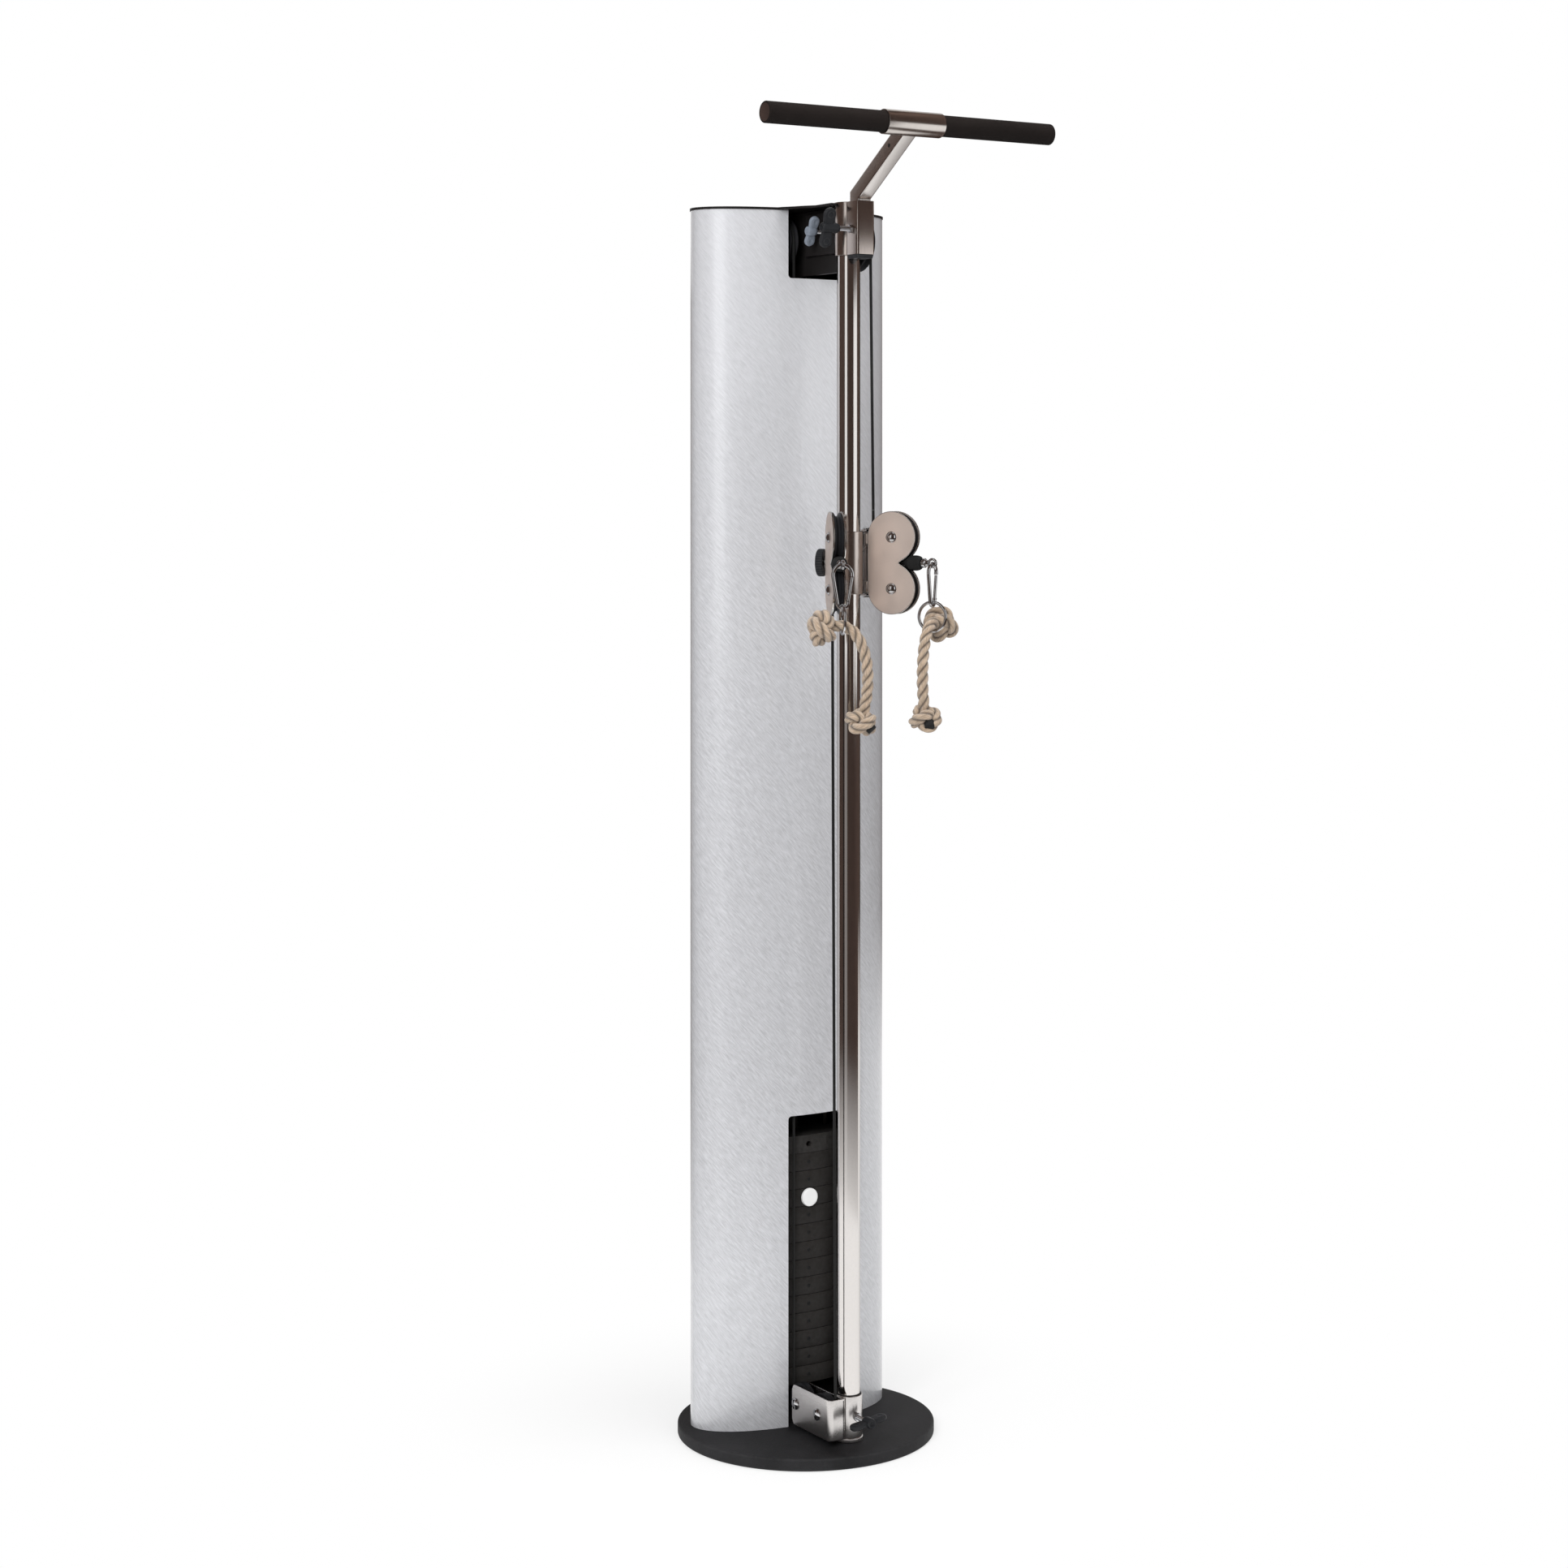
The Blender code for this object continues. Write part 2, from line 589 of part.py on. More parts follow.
def weight_plates(name, first, count):
    """Neighbouring plates as one body, with the joints between them as grooves."""
    bottom = STACK_BOTTOM + first * PLATE_PITCH
    height = count * PLATE_PITCH - PLATE_SPACING_GAP
    holes = [circle(GUIDE_ROD_RADIUS + RUNNING_GAP * 2, (side * GUIDE_ROD_SPACING / 2, COLUMN_Y), 10)
             for side in (-1, 1)]
    holes.append(circle(SELECTOR_ROD_RADIUS + RUNNING_GAP * 2, (0, COLUMN_Y), 10))
    obj = plate(name, IRON_PLATE, plate_outline(), height, holes, flat(bottom + height / 2))
    front = TUBE_Y + PLATE_FRONT_BEHIND_TUBE
    around = rectangle(-0.2, 0.2, COLUMN_Y - 0.2, COLUMN_Y + 0.2)
    for index in range(count):
        middle = bottom + index * PLATE_PITCH + PLATE_THICKNESS / 2
        cut(obj, rod("drill", IRON_PLATE, PIN_HOLE_RADIUS, front - 0.01, COLUMN_Y, (0, 0, middle), "Y", steps=6))
        if index:
            joint = bottom + index * PLATE_PITCH - PLATE_SPACING_GAP / 2
            cut(obj, plate("groove", IRON_PLATE, around, PLATE_SPACING_GAP,
                           [plate_outline(PLATE_GROOVE_DEPTH)], flat(joint)))
    return obj


def rectangle(x0, x1, y0, y1):
    return [(x0, y0), (x1, y0), (x1, y1), (x0, y1)]


def weight_stack():
    lifted_from = PLATE_COUNT - LIFTED_COUNT
    weight_plates("resting_plates", 0, lifted_from)
    weight_plates("lifted_plates", lifted_from, LIFTED_COUNT - 1)
    head = weight_plates("head_plate", PLATE_COUNT - 1, 1)
    cheek_gap = PULLEY_HALF_WIDTH + SEAT_GAP * 3
    cheek_top = TRAVELLING_HEIGHT + 0.012
    for side in (-1, 1):
        inner, outer = side * cheek_gap, side * (cheek_gap + SHEET_THICKNESS)
        cheek = box("cheek", IRON_PLATE,
                    (-0.012, COLUMN_Y + min(inner, outer), HEAD_PLATE_TOP - 0.001),
                    (0.012, COLUMN_Y + max(inner, outer), cheek_top))
        weld_on(head, cheek)
    weld_on(head, rod("axle", IRON_PLATE, PULLEY_AXLE_RADIUS, -cheek_gap - 0.006, cheek_gap + 0.006,
                      (0, COLUMN_Y, TRAVELLING_HEIGHT), "Y", steps=12))
    selector = rod("selector_rod", POLISHED_STEEL, SELECTOR_ROD_RADIUS, STACK_BOTTOM + 0.002,
                   HEAD_PLATE_TOP - SELECTOR_ROD_BELOW_TOP, (0, COLUMN_Y, 0), steps=10)
    for index in range(PLATE_COUNT):
        height = STACK_BOTTOM + index * PLATE_PITCH + PLATE_THICKNESS / 2
        cut(selector, rod("drill", POLISHED_STEEL, PIN_HOLE_RADIUS, -0.02, 0.02,
                          (0, COLUMN_Y, height), "Y", steps=6))
    front = PLATE_FRONT_BEHIND_TUBE - SEAT_GAP
    height = STACK_BOTTOM + lifted_from * PLATE_PITCH + PLATE_THICKNESS / 2
    tip = COLUMN_BEHIND_TUBE - SELECTOR_ROD_RADIUS + PIN_BITE
    profile = [(0, tip), (PIN_RADIUS * 0.6, tip), (PIN_RADIUS, tip - 0.002), (PIN_RADIUS, front),
               (PIN_HEAD_RADIUS - 0.001, front), (PIN_HEAD_RADIUS, front - 0.001),
               (PIN_HEAD_RADIUS, front - PIN_HEAD_THICKNESS + 0.0015),
               (PIN_HEAD_RADIUS - 0.0015, front - PIN_HEAD_THICKNESS), (0, front - PIN_HEAD_THICKNESS)]
    turned("selector_pin", WHITE_PLASTIC, profile, (0, TUBE_Y, height), "Y", steps=16)


def pulley(name, pitch_radius, place, axis, half_width=PULLEY_HALF_WIDTH, bore=PULLEY_AXLE_RADIUS,
           flange=FLANGE_HEIGHT, parent=None):
    """Grooved pulley whose cable runs at the pitch radius."""
    floor = pitch_radius - CABLE_RADIUS - SEAT_GAP
    rim = pitch_radius + flange
    hole = bore + SEAT_GAP
    profile = [(hole, half_width), (rim - 0.001, half_width), (rim, half_width - 0.001),
               (floor, CABLE_RADIUS * 0.7), (floor, -CABLE_RADIUS * 0.7),
               (rim, -half_width + 0.001), (rim - 0.001, -half_width), (hole, -half_width)]
    obj = turned(name, BLACK_PLASTIC, profile, place, axis, steps=20)
    if parent:
        place_under(obj, parent)
    return obj


def place_under(obj, parent):
    """Keep an object's own numbers as its place in its parent's frame."""
    local = obj.matrix_basis.copy()
    obj.parent = parent
    obj.matrix_parent_inverse = Matrix.Identity(4)
    obj.matrix_basis = local
    return obj


def top_pulleys():
    pulley("front_top_pulley", FRONT_TOP_PITCH_RADIUS,
           (CABLE_LINE_ASIDE, FRONT_TOP_Y, FRONT_TOP_PULLEY_HEIGHT), "X")
    pulley("rear_top_pulley_right", REAR_TOP_PITCH_RADIUS,
           (CABLE_LINE_ASIDE, REAR_TOP_Y, REAR_TOP_HEIGHT), "X")
    pulley("rear_top_pulley_left", REAR_TOP_PITCH_RADIUS,
           (-CABLE_LINE_ASIDE, REAR_TOP_Y, REAR_TOP_HEIGHT), "X")
    pulley("travelling_pulley", TRAVELLING_PITCH_RADIUS, (0, COLUMN_Y, TRAVELLING_HEIGHT), "Y")


def bottom_pulleys():
    for name, y in (("bottom_rear_pulley", BOTTOM_REAR_Y), ("bottom_front_pulley", BOTTOM_FRONT_Y)):
        pulley(name, BOTTOM_PITCH_RADIUS, (-CABLE_LINE_ASIDE, y, BOTTOM_PULLEY_HEIGHT), "X",
               half_width=BOTTOM_HALF_WIDTH, flange=BOTTOM_FLANGE_HEIGHT)
    head = 0.0095
    left_face = BOX_LEFT + SEAT_GAP
    right_face = BOX_RIGHT + SHEET_THICKNESS + SEAT_GAP
    profile = [(0, left_face + 0.0035), (head * 0.6, left_face + 0.003), (head, left_face + 0.001),
               (head, left_face), (PULLEY_AXLE_RADIUS, left_face), (PULLEY_AXLE_RADIUS, right_face),
               (0, right_face)]
    for name, y in (("bottom_rear_screw", BOTTOM_REAR_Y), ("bottom_front_screw", BOTTOM_FRONT_Y)):
        screw = turned(name, POLISHED_STEEL, profile, (0, y, BOTTOM_PULLEY_HEIGHT), "-X", steps=16)
        slot = box("slot", POLISHED_STEEL,
                   (-left_face - 0.006, y - 0.0007, BOTTOM_PULLEY_HEIGHT - head),
                   (-left_face - 0.002, y + 0.0007, BOTTOM_PULLEY_HEIGHT + head))
        cut(screw, slot)


def guide_tube():
    low = BASE_TOP + SEAT_GAP
    ring_body("foot_ring", BLACK_RUBBER, COLLAR_RADIUS + 0.002, TUBE_BORE, low,
              low + FOOT_RING_HEIGHT, (0, TUBE_Y, 0))
    ring_body("guide_tube", POLISHED_STEEL, TUBE_RADIUS, TUBE_RADIUS - TUBE_WALL, low,
              BRACKET_TOP - 0.0045, (0, TUBE_Y, 0), steps=24)


def bottom_bracket():
    """Collar round the tube's foot with a folded pulley box welded to its left side."""
    collar = rod("bottom_bracket", POLISHED_STEEL, COLLAR_RADIUS, COLLAR_BOTTOM, COLLAR_TOP, (0, TUBE_Y, 0), steps=24)
    front = TUBE_Y - BOX_FRONT_AHEAD
    rear = TUBE_Y + BOX_REAR_BEHIND
    bend = 0.009
    t = SHEET_THICKNESS
    outer = [(-BOX_LEFT, rear), *arc((-BOX_LEFT + bend, front + bend), bend, 180, 270, 5),
             (-BOX_RIGHT, front), (-BOX_RIGHT, rear)]
    inner = [(-BOX_LEFT + t, rear + 0.01),
             *arc((-BOX_LEFT + bend, front + bend), bend - t, 180, 270, 5),
             (-BOX_RIGHT - t, front + t), (-BOX_RIGHT - t, rear + 0.01)]
    height = BOX_TOP - BOX_BOTTOM
    middle = (BOX_TOP + BOX_BOTTOM) / 2
    channel = plate("box", POLISHED_STEEL, outer, height, matrix=flat(middle))
    cut(channel, plate("box_hollow", POLISHED_STEEL, inner, height + 0.02, matrix=flat(middle)))
    for y in (BOTTOM_REAR_Y, BOTTOM_FRONT_Y):
        cut(channel, rod("drill", POLISHED_STEEL, PULLEY_AXLE_RADIUS + RUNNING_GAP, -BOX_LEFT - 0.01,
                         -BOX_RIGHT - 0.02, (0, y, BOTTOM_PULLEY_HEIGHT), "X", steps=16))
    weld_on(collar, channel)
    cut(collar, rod("bore", POLISHED_STEEL, TUBE_BORE, 0.0, 0.2, (0, TUBE_Y, 0), steps=24))


def top_bracket():
    """Sleeve on the tube, square socket in front of it and a tongue on the frame's web."""
    sleeve = rod("top_bracket", POLISHED_STEEL, SLEEVE_RADIUS, BRACKET_BOTTOM, BRACKET_TOP,
                 (0, TUBE_Y, 0), steps=24)
    socket_y = TUBE_Y - SOCKET_AHEAD
    half = SOCKET_SIZE / 2
    socket = box("socket", POLISHED_STEEL, (-half, socket_y - half, BRACKET_BOTTOM),
                 (half, socket_y + half, BRACKET_TOP - 0.0005))
    corners = socket.modifiers.new("corners", "BEVEL")
    corners.width = 0.003
    corners.segments = 2
    corners.limit_method = "WEIGHT"
    upright_edges(socket)
    web_face = -WEB_THICKNESS / 2 - SEAT_GAP
    front, rear = TUBE_Y + SLEEVE_RADIUS * 0.65, TUBE_Y + TONGUE_REACH
    low, high = BRACKET_BOTTOM + BRACKET_ABOVE_COLUMN, COLUMN_TOP - BRACKET_ABOVE_COLUMN
    hollow = [(rear - TONGUE_HOLLOW * math.sin(math.pi * i / 4), low + (high - low) * i / 4) for i in range(5)]
    tongue = plate("tongue", POLISHED_STEEL, [(front, low), *hollow, (front, high)], TONGUE_THICKNESS,
                   matrix=Matrix.Translation((web_face - TONGUE_THICKNESS / 2, 0, 0)) @ UPRIGHT)
    weld_on(sleeve, socket, tongue)
    cut(sleeve, rod("bore", POLISHED_STEEL, TUBE_BORE, BRACKET_BOTTOM - 0.01, BRACKET_TOP - 0.004,
                    (0, TUBE_Y, 0), steps=24))
    inside = ARM_SIZE / 2 + SEAT_GAP
    cut(sleeve, box("square_bore", POLISHED_STEEL, (-inside, socket_y - inside, BRACKET_BOTTOM - 0.01),
                    (inside, socket_y + inside, BRACKET_TOP + 0.01)))
    cut(sleeve, rod("bolt_hole", POLISHED_STEEL, WING_BOLT_RADIUS + RUNNING_GAP, -0.03, 0.0,
                    (0, socket_y, HANDLE_WING_HEIGHT), "X", steps=12))
    rim = half - 0.0025
    plug = box("socket_plug", BLACK_PLASTIC, (-rim, socket_y - rim, BRACKET_BOTTOM - 0.0065),
               (rim, socket_y + rim, BRACKET_BOTTOM - SEAT_GAP))
    inset = inside - SEAT_GAP
    weld_on(plug, box("plug_spigot", BLACK_PLASTIC, (-inset, socket_y - inset, BRACKET_BOTTOM - 0.003),
                      (inset, socket_y + inset, BRACKET_BOTTOM + 0.006)))


def upright_edges(obj):
    """Mark the vertical edges of a box for its bevel."""
    mesh = obj.data
    weights = mesh.attributes.new("bevel_weight_edge", "FLOAT", "EDGE")
    for edge in mesh.edges:
        first, second = (mesh.vertices[i].co for i in edge.vertices)
        if abs(first.z - second.z) > 1e-6:
            weights.data[edge.index].value = 1.0


def wing_screw(name, sizes, place, axis, tilt_degrees, bolt_start=0.0):
    """Plastic wing screw: threaded bolt, hub and two flat paddles."""
    span, width, hub_length, bolt_length = sizes
    turn = AXIS_TURN[axis] @ Matrix.Rotation(math.radians(tilt_degrees), 4, "Z")
    hub = WING_HUB_RADIUS
    end = bolt_length + hub_length
    profile = [(0, end), (hub - 0.002, end), (hub, end - 0.002), (hub, bolt_length + 0.004),
               (hub * 0.8, bolt_length), (WING_BOLT_RADIUS, bolt_length), (WING_BOLT_RADIUS, bolt_start),
               (0, bolt_start)]
    obj = turned(name, BLACK_PLASTIC, profile, place, turn, steps=16)
    radius = width / 2
    outline = [*arc((span / 2 - radius, 0), radius, -90, 90, 6), *arc((radius - span / 2, 0), radius, 90, 270, 6)]
    middle = bolt_length + hub_length - radius - 0.001
    lay = Matrix.Translation(place) @ turn @ Matrix.Translation((0, 0, middle)) @ FACING
    paddles = plate("paddles", BLACK_PLASTIC, outline, WING_THICKNESS, matrix=lay)
    return weld_on(obj, paddles)


def wing_screws():
    socket_y = TUBE_Y - SOCKET_AHEAD
    wall = ARM_SIZE / 2 + SEAT_GAP * 2
    wing_screw("handle_wing_screw", (HANDLE_WING[0], HANDLE_WING[1], HANDLE_WING[2], 0.042),
               (0, socket_y, HANDLE_WING_HEIGHT), "-X", -18, wall)
    tongue_face = WEB_THICKNESS / 2 + SEAT_GAP + TONGUE_THICKNESS
    wing_screw("bracket_wing_screw", BRACKET_WING,
               (-tongue_face - SEAT_GAP, TUBE_Y + 0.062, BRACKET_WING_HEIGHT), "-X", -26)
    wing_screw("collar_wing_screw", COLLAR_WING,
               (0, TUBE_Y - COLLAR_RADIUS - SEAT_GAP, COLLAR_WING_HEIGHT), "-Y", 14)


def handle():
    """T handle: square arm bent forward out of the socket, with a sleeve and two grips."""
    start_y = TUBE_Y - SOCKET_AHEAD
    bar_y = TUBE_Y - BAR_AHEAD
    rise = BAR_HEIGHT - ARM_BEND_HEIGHT
    run = bar_y - start_y
    slope = Vector((0, run, rise)).normalized()
    half = ARM_SIZE / 2
    across = Vector((0, -slope.z, slope.y))
    mitre_normal = (slope + Vector((0, 0, 1))).normalized()
    arm = bmesh.new()
    corner = 0.002
    section = [(-half, -half + corner), (-half + corner, -half), (half - corner, -half),
               (half, -half + corner), (half, half - corner), (half - corner, half),
               (-half + corner, half), (-half, half - corner)]
    bend = Vector((0, start_y, ARM_BEND_HEIGHT))
    rings = []
    low = BRACKET_BOTTOM + 0.006 + SEAT_GAP
    rings.append([Vector((x, start_y + y, low)) for x, y in section])
    middle = []
    for x, y in section:
        point = Vector((x, start_y + y, 0))
        height = ARM_BEND_HEIGHT - (mitre_normal.y * y) / mitre_normal.z
        middle.append(Vector((point.x, point.y, height)))
    rings.append(middle)
    end = Vector((0, bar_y, BAR_HEIGHT)) - slope * 0.004
    rings.append([end + Vector((x, 0, 0)) - across * y for x, y in section])
    loops = [[arm.verts.new(co) for co in ring] for ring in rings]
    for first, second in zip(loops, loops[1:]):
        for i in range(len(section)):
            j = (i + 1) % len(section)
            arm.faces.new((first[i], first[j], second[j], second[i]))
    arm.faces.new(list(reversed(loops[0])))
    arm.faces.new(loops[-1])
    bmesh.ops.recalc_face_normals(arm, faces=arm.faces)
    mesh = bpy.data.meshes.new("handle_arm")
    arm.to_mesh(mesh)
    arm.free()
    obj = finish(bpy.data.objects.new("handle_arm", mesh), SATIN_STEEL)
    half_sleeve = BAR_SLEEVE_LENGTH / 2
    sleeve = rod("bar_sleeve", SATIN_STEEL, BAR_SLEEVE_RADIUS, -half_sleeve, half_sleeve,
                 (0, bar_y, BAR_HEIGHT), "X", steps=24)
    weld_on(obj, sleeve)
    bore = GRIP_RADIUS + SEAT_GAP
    depth = 0.030
    for side, axis in ((1, "X"), (-1, "-X")):
        cut(obj, rod("grip_bore", SATIN_STEEL, bore, half_sleeve - depth, half_sleeve + 0.01,
                     (0, bar_y, BAR_HEIGHT), axis, steps=24))
    cross = bend + slope * 0.124
    cut(obj, rod("cross_hole", SATIN_STEEL, 0.003, -0.03, 0.03, cross, "X", steps=12))
    length = BAR_LENGTH / 2
    profile = [(0, length - 0.0006), (GRIP_RADIUS - 0.0035, length - 0.0006), (GRIP_RADIUS - 0.003, length),
               (GRIP_RADIUS - 0.001, length - 0.0006), (GRIP_RADIUS, length - 0.003),
               (GRIP_RADIUS, half_sleeve - depth + SEAT_GAP), (0, half_sleeve - depth + SEAT_GAP)]
    for name, axis in (("left_grip", "-X"), ("right_grip", "X")):
        turned(name, BLACK_RUBBER, profile, (0, bar_y, BAR_HEIGHT), axis, steps=24)


def knob_turn():
    """Frame whose Z axis runs out of the carriage to its rear left."""
    angle = math.radians(KNOB_DIRECTION_DEGREES)
    direction = Vector((math.cos(angle), math.sin(angle), 0))
    return direction.to_track_quat("Z", "Y").to_matrix().to_4x4()


def carriage():
    """Sleeve that slides on the tube, with two lugs that carry the hinge pins."""
    half = CARRIAGE_LENGTH / 2
    centre = (0, TUBE_Y, CARRIAGE_HEIGHT_AT_REST)
    sleeve = rod("carriage_sleeve", POLISHED_STEEL, CARRIAGE_RADIUS, -half, half, centre, steps=24)
    for side in (-1, 1):
        reach = CABLE_LINE_ASIDE
        width = LUG_HALF_WIDTH
        outline = [*arc((reach, 0), width, -90, 90, 6), *arc((-reach, 0), width, 90, 270, 6)]
        height = CARRIAGE_HEIGHT_AT_REST + side * (half + LUG_THICKNESS / 2 - 0.0001)
        lug = plate("lug", POLISHED_STEEL, outline, LUG_THICKNESS,
                    matrix=Matrix.Translation((0, TUBE_Y, height)))
        weld_on(sleeve, lug)
    turn = knob_turn()
    weld_on(sleeve, rod("knob_housing", POLISHED_STEEL, KNOB_HOUSING_RADIUS, 0.020, KNOB_HOUSING_END,
                        centre, turn, steps=16))
    cut(sleeve, rod("bore", POLISHED_STEEL, TUBE_BORE, -0.1, 0.1, centre, steps=24))
    cut(sleeve, rod("plunger_bore", POLISHED_STEEL, PIN_RADIUS + SEAT_GAP, 0.0, 0.06, centre, turn, steps=12))
    top = half + LUG_THICKNESS
    for side in (-1, 1):
        profile = [(0, top + 0.0025), (0.0055, top + 0.0025), (0.006, top + 0.0015), (0.006, top - 0.001),
                   (HINGE_PIN_RADIUS, top - 0.001), (HINGE_PIN_RADIUS, -top - 0.0015), (0, -top - 0.0015)]
        weld_on(sleeve, turned("pin", POLISHED_STEEL, profile,
                               (side * CABLE_LINE_ASIDE, TUBE_Y, CARRIAGE_HEIGHT_AT_REST), steps=10))
    cap = KNOB_HOUSING_END + SEAT_GAP
    dome = [(KNOB_RADIUS * math.cos(math.radians(a)), cap + 0.004 + (KNOB_LENGTH - 0.004) * math.sin(math.radians(a)))
            for a in (66, 44, 22, 0)]
    profile = [(0, cap + KNOB_LENGTH), *dome, (KNOB_RADIUS, cap), (PIN_RADIUS, cap),
               (PIN_RADIUS, TUBE_RADIUS + SEAT_GAP * 2), (0, TUBE_RADIUS + SEAT_GAP * 2)]
    turned("locking_knob", BLACK_PLASTIC, profile, centre, turn, steps=20)


def cheek_outline():
    """Side plate of a block, in (y, z) about its hinge: two lobes with a notch in front."""
    ahead = -BLOCK_PULLEY_AHEAD
    rise = BLOCK_PULLEY_SPACING / 2
    radius = BLOCK_LOBE_RADIUS
    notch = (ahead - NOTCH_DEPTH, 0.0)
    lean = 2 * math.degrees(math.atan2(rise, NOTCH_DEPTH))
    touch = 270 - (180 - lean)
    upper = arc((ahead, rise), radius, 0, touch, 13)
    lower = [(y, -z) for y, z in reversed(upper)]
    return upper + [notch] + lower


def block(side, swivel_degrees):
    """One swivelling pulley block with its cable end, hook, ring and rope."""
    label = "left" if side < 0 else "right"
    hinge = bpy.data.objects.new(label + "_block_hinge", None)
    PARTS.objects.link(hinge)
    hinge.location = (side * CABLE_LINE_ASIDE, TUBE_Y, CARRIAGE_HEIGHT_AT_REST)
    hinge.rotation_euler = (0, 0, math.radians(swivel_degrees))
    ahead = -BLOCK_PULLEY_AHEAD
    rise = BLOCK_PULLEY_SPACING / 2
    inner = BLOCK_INNER_HALF_WIDTH
    middle = inner + BLOCK_CHEEK_THICKNESS / 2
    holes = [circle(BLOCK_AXLE_RADIUS + RUNNING_GAP, (ahead, z), 10) for z in (rise, -rise)]
    frame, other = (
        plate(label + "_block_frame", SATIN_STEEL, cheek_outline(), BLOCK_CHEEK_THICKNESS, holes,
              Matrix.Translation((across, 0, 0)) @ UPRIGHT)
        for across in (-middle, middle)
    )
    half = CARRIAGE_LENGTH / 2
    rear_edge = ahead + BLOCK_LOBE_RADIUS
    for sign in (-1, 1):
        high = half - SEAT_GAP * 2
        z0, z1 = sorted((sign * (high - KNUCKLE_HEIGHT), sign * high))
        barrel = rod("barrel", SATIN_STEEL, KNUCKLE_RADIUS, z0, z1, steps=14)
        fin = box("fin", SATIN_STEEL, (-inner - 0.002, rear_edge - 0.0006, z0 + 0.002),
                  (inner + 0.002, rear_edge + 0.004, z1 - 0.002))
        bore = rod("bore", SATIN_STEEL, HINGE_PIN_RADIUS + RUNNING_GAP, -0.1, 0.1, steps=10)
        weld_on(frame, cut(weld_on(barrel, fin), bore))
    weld_on(frame, other)
    place_under(baked(frame), hinge)

    for word, z in (("upper", rise), ("lower", -rise)):
        pulley(f"{label}_{word}_pulley", BLOCK_PITCH_RADIUS, (0, ahead, z), "X",
               half_width=BLOCK_INNER_HALF_WIDTH - RUNNING_GAP, bore=BLOCK_AXLE_RADIUS,
               flange=BLOCK_FLANGE_HEIGHT, parent=hinge)

    outer = BLOCK_OUTER_HALF_WIDTH + SEAT_GAP
    head = BLOCK_SCREW_HEAD_RADIUS
    dome = [(head * math.cos(math.radians(a)), outer + 0.001 + 0.0045 * math.sin(math.radians(a)))
            for a in (50, 0)]
    profile = [(0, outer + 0.0055), *dome, (head, outer), (BLOCK_AXLE_RADIUS, outer),
               (BLOCK_AXLE_RADIUS, -outer), (head, -outer),
               *[(r, -z) for r, z in reversed(dome)], (0, -outer - 0.0055)]
    for word, z in (("upper", rise), ("lower", -rise)):
        place_under(turned(f"{label}_{word}_axle", POLISHED_STEEL, profile, (0, ahead, z), "X", steps=12), hinge)

    cable_end(label, side, hinge)
    hook(label, hinge)
    rope(label, side, hinge)


def cable_path(side):
    """Cable inside a block, in (y, z): down the back of a pulley and out to the stopper.

    The right block's cable comes from above and turns on the upper pulley. The left
    block's comes from below and turns on the lower one.
    """
    ahead = -BLOCK_PULLEY_AHEAD
    rise = BLOCK_PULLEY_SPACING / 2
    radius = BLOCK_PITCH_RADIUS
    aim = (-STOPPER_REAR_AHEAD, 0.0)
    away = (aim[0] - ahead, aim[1] - rise)
    leave = math.asin(radius / math.hypot(*away)) + math.atan2(-away[0], -away[1])
    points = [(ahead + radius, CABLE_PARTING - SEAT_GAP)]
    for i in range(7):
        angle = leave * i / 6
        points.append((ahead + radius * math.cos(angle), rise - radius * math.sin(angle)))
    points.append(aim)
    points.append((-STOPPER_REAR_AHEAD - STOPPER_LENGTH - 0.004, 0.0))
    return [(y, z * side) for y, z in points]


def cable_end(label, side, hinge):
    bore = CABLE_RADIUS + SEAT_GAP
    start, length, radius = STOPPER_REAR_AHEAD, STOPPER_LENGTH, STOPPER_RADIUS
    profile = [(bore, start + length), (radius * 0.62, start + length), (radius * 0.88, start + length - 0.003),
               (radius, start + length - 0.008), (radius, start + 0.0105), (0.0055, start), (bore, start)]
    stopper = turned(label + "_cable_stopper", BLACK_RUBBER, profile, axis="-Y", steps=16)
    place_under(stopper, hinge)
    points = [(0.0, y, z) for y, z in cable_path(side)]
    end = wire(label + "_cable_end", CABLE_SKIN, points, CABLE_RADIUS, resolution=1)
    ferrule_start = start + length + SEAT_GAP
    ferrule_end = EYE_AHEAD - EYE_OUTER_RADIUS + 0.002
    profile = [(0, ferrule_end), (0.0050, ferrule_end), (0.0070, ferrule_end - 0.002), (0.0070, ferrule_start),
               (0, ferrule_start)]
    ferrule = turned("ferrule", CABLE_SKIN, profile, axis="-Y", steps=12)
    eye_ring = EYE_OUTER_RADIUS - EYE_WIRE_RADIUS
    loop = [(0.0, -EYE_AHEAD + eye_ring * math.cos(math.tau * i / 14), eye_ring * math.sin(math.tau * i / 14))
            for i in range(14)]
    eye = wire("eye", CABLE_SKIN, loop, EYE_WIRE_RADIUS, cyclic=True, resolution=1)
    weld_on(end, ferrule, eye)
    place_under(baked(end), hinge)


def hook_heights():
    """Heights of the hook's two wire centres and the ring's centre, from the eye's centre."""
    eye_hole = EYE_OUTER_RADIUS - 2 * EYE_WIRE_RADIUS
    crown = HOOK_WIRE_RADIUS + RUNNING_GAP - eye_hole
    foot = crown - HOOK_TOP_RADIUS - HOOK_CENTRE_DISTANCE - HOOK_BOTTOM_RADIUS
    ring = foot + HOOK_WIRE_RADIUS + RING_WIRE_RADIUS + RUNNING_GAP - RING_RADIUS
    return crown, foot, ring


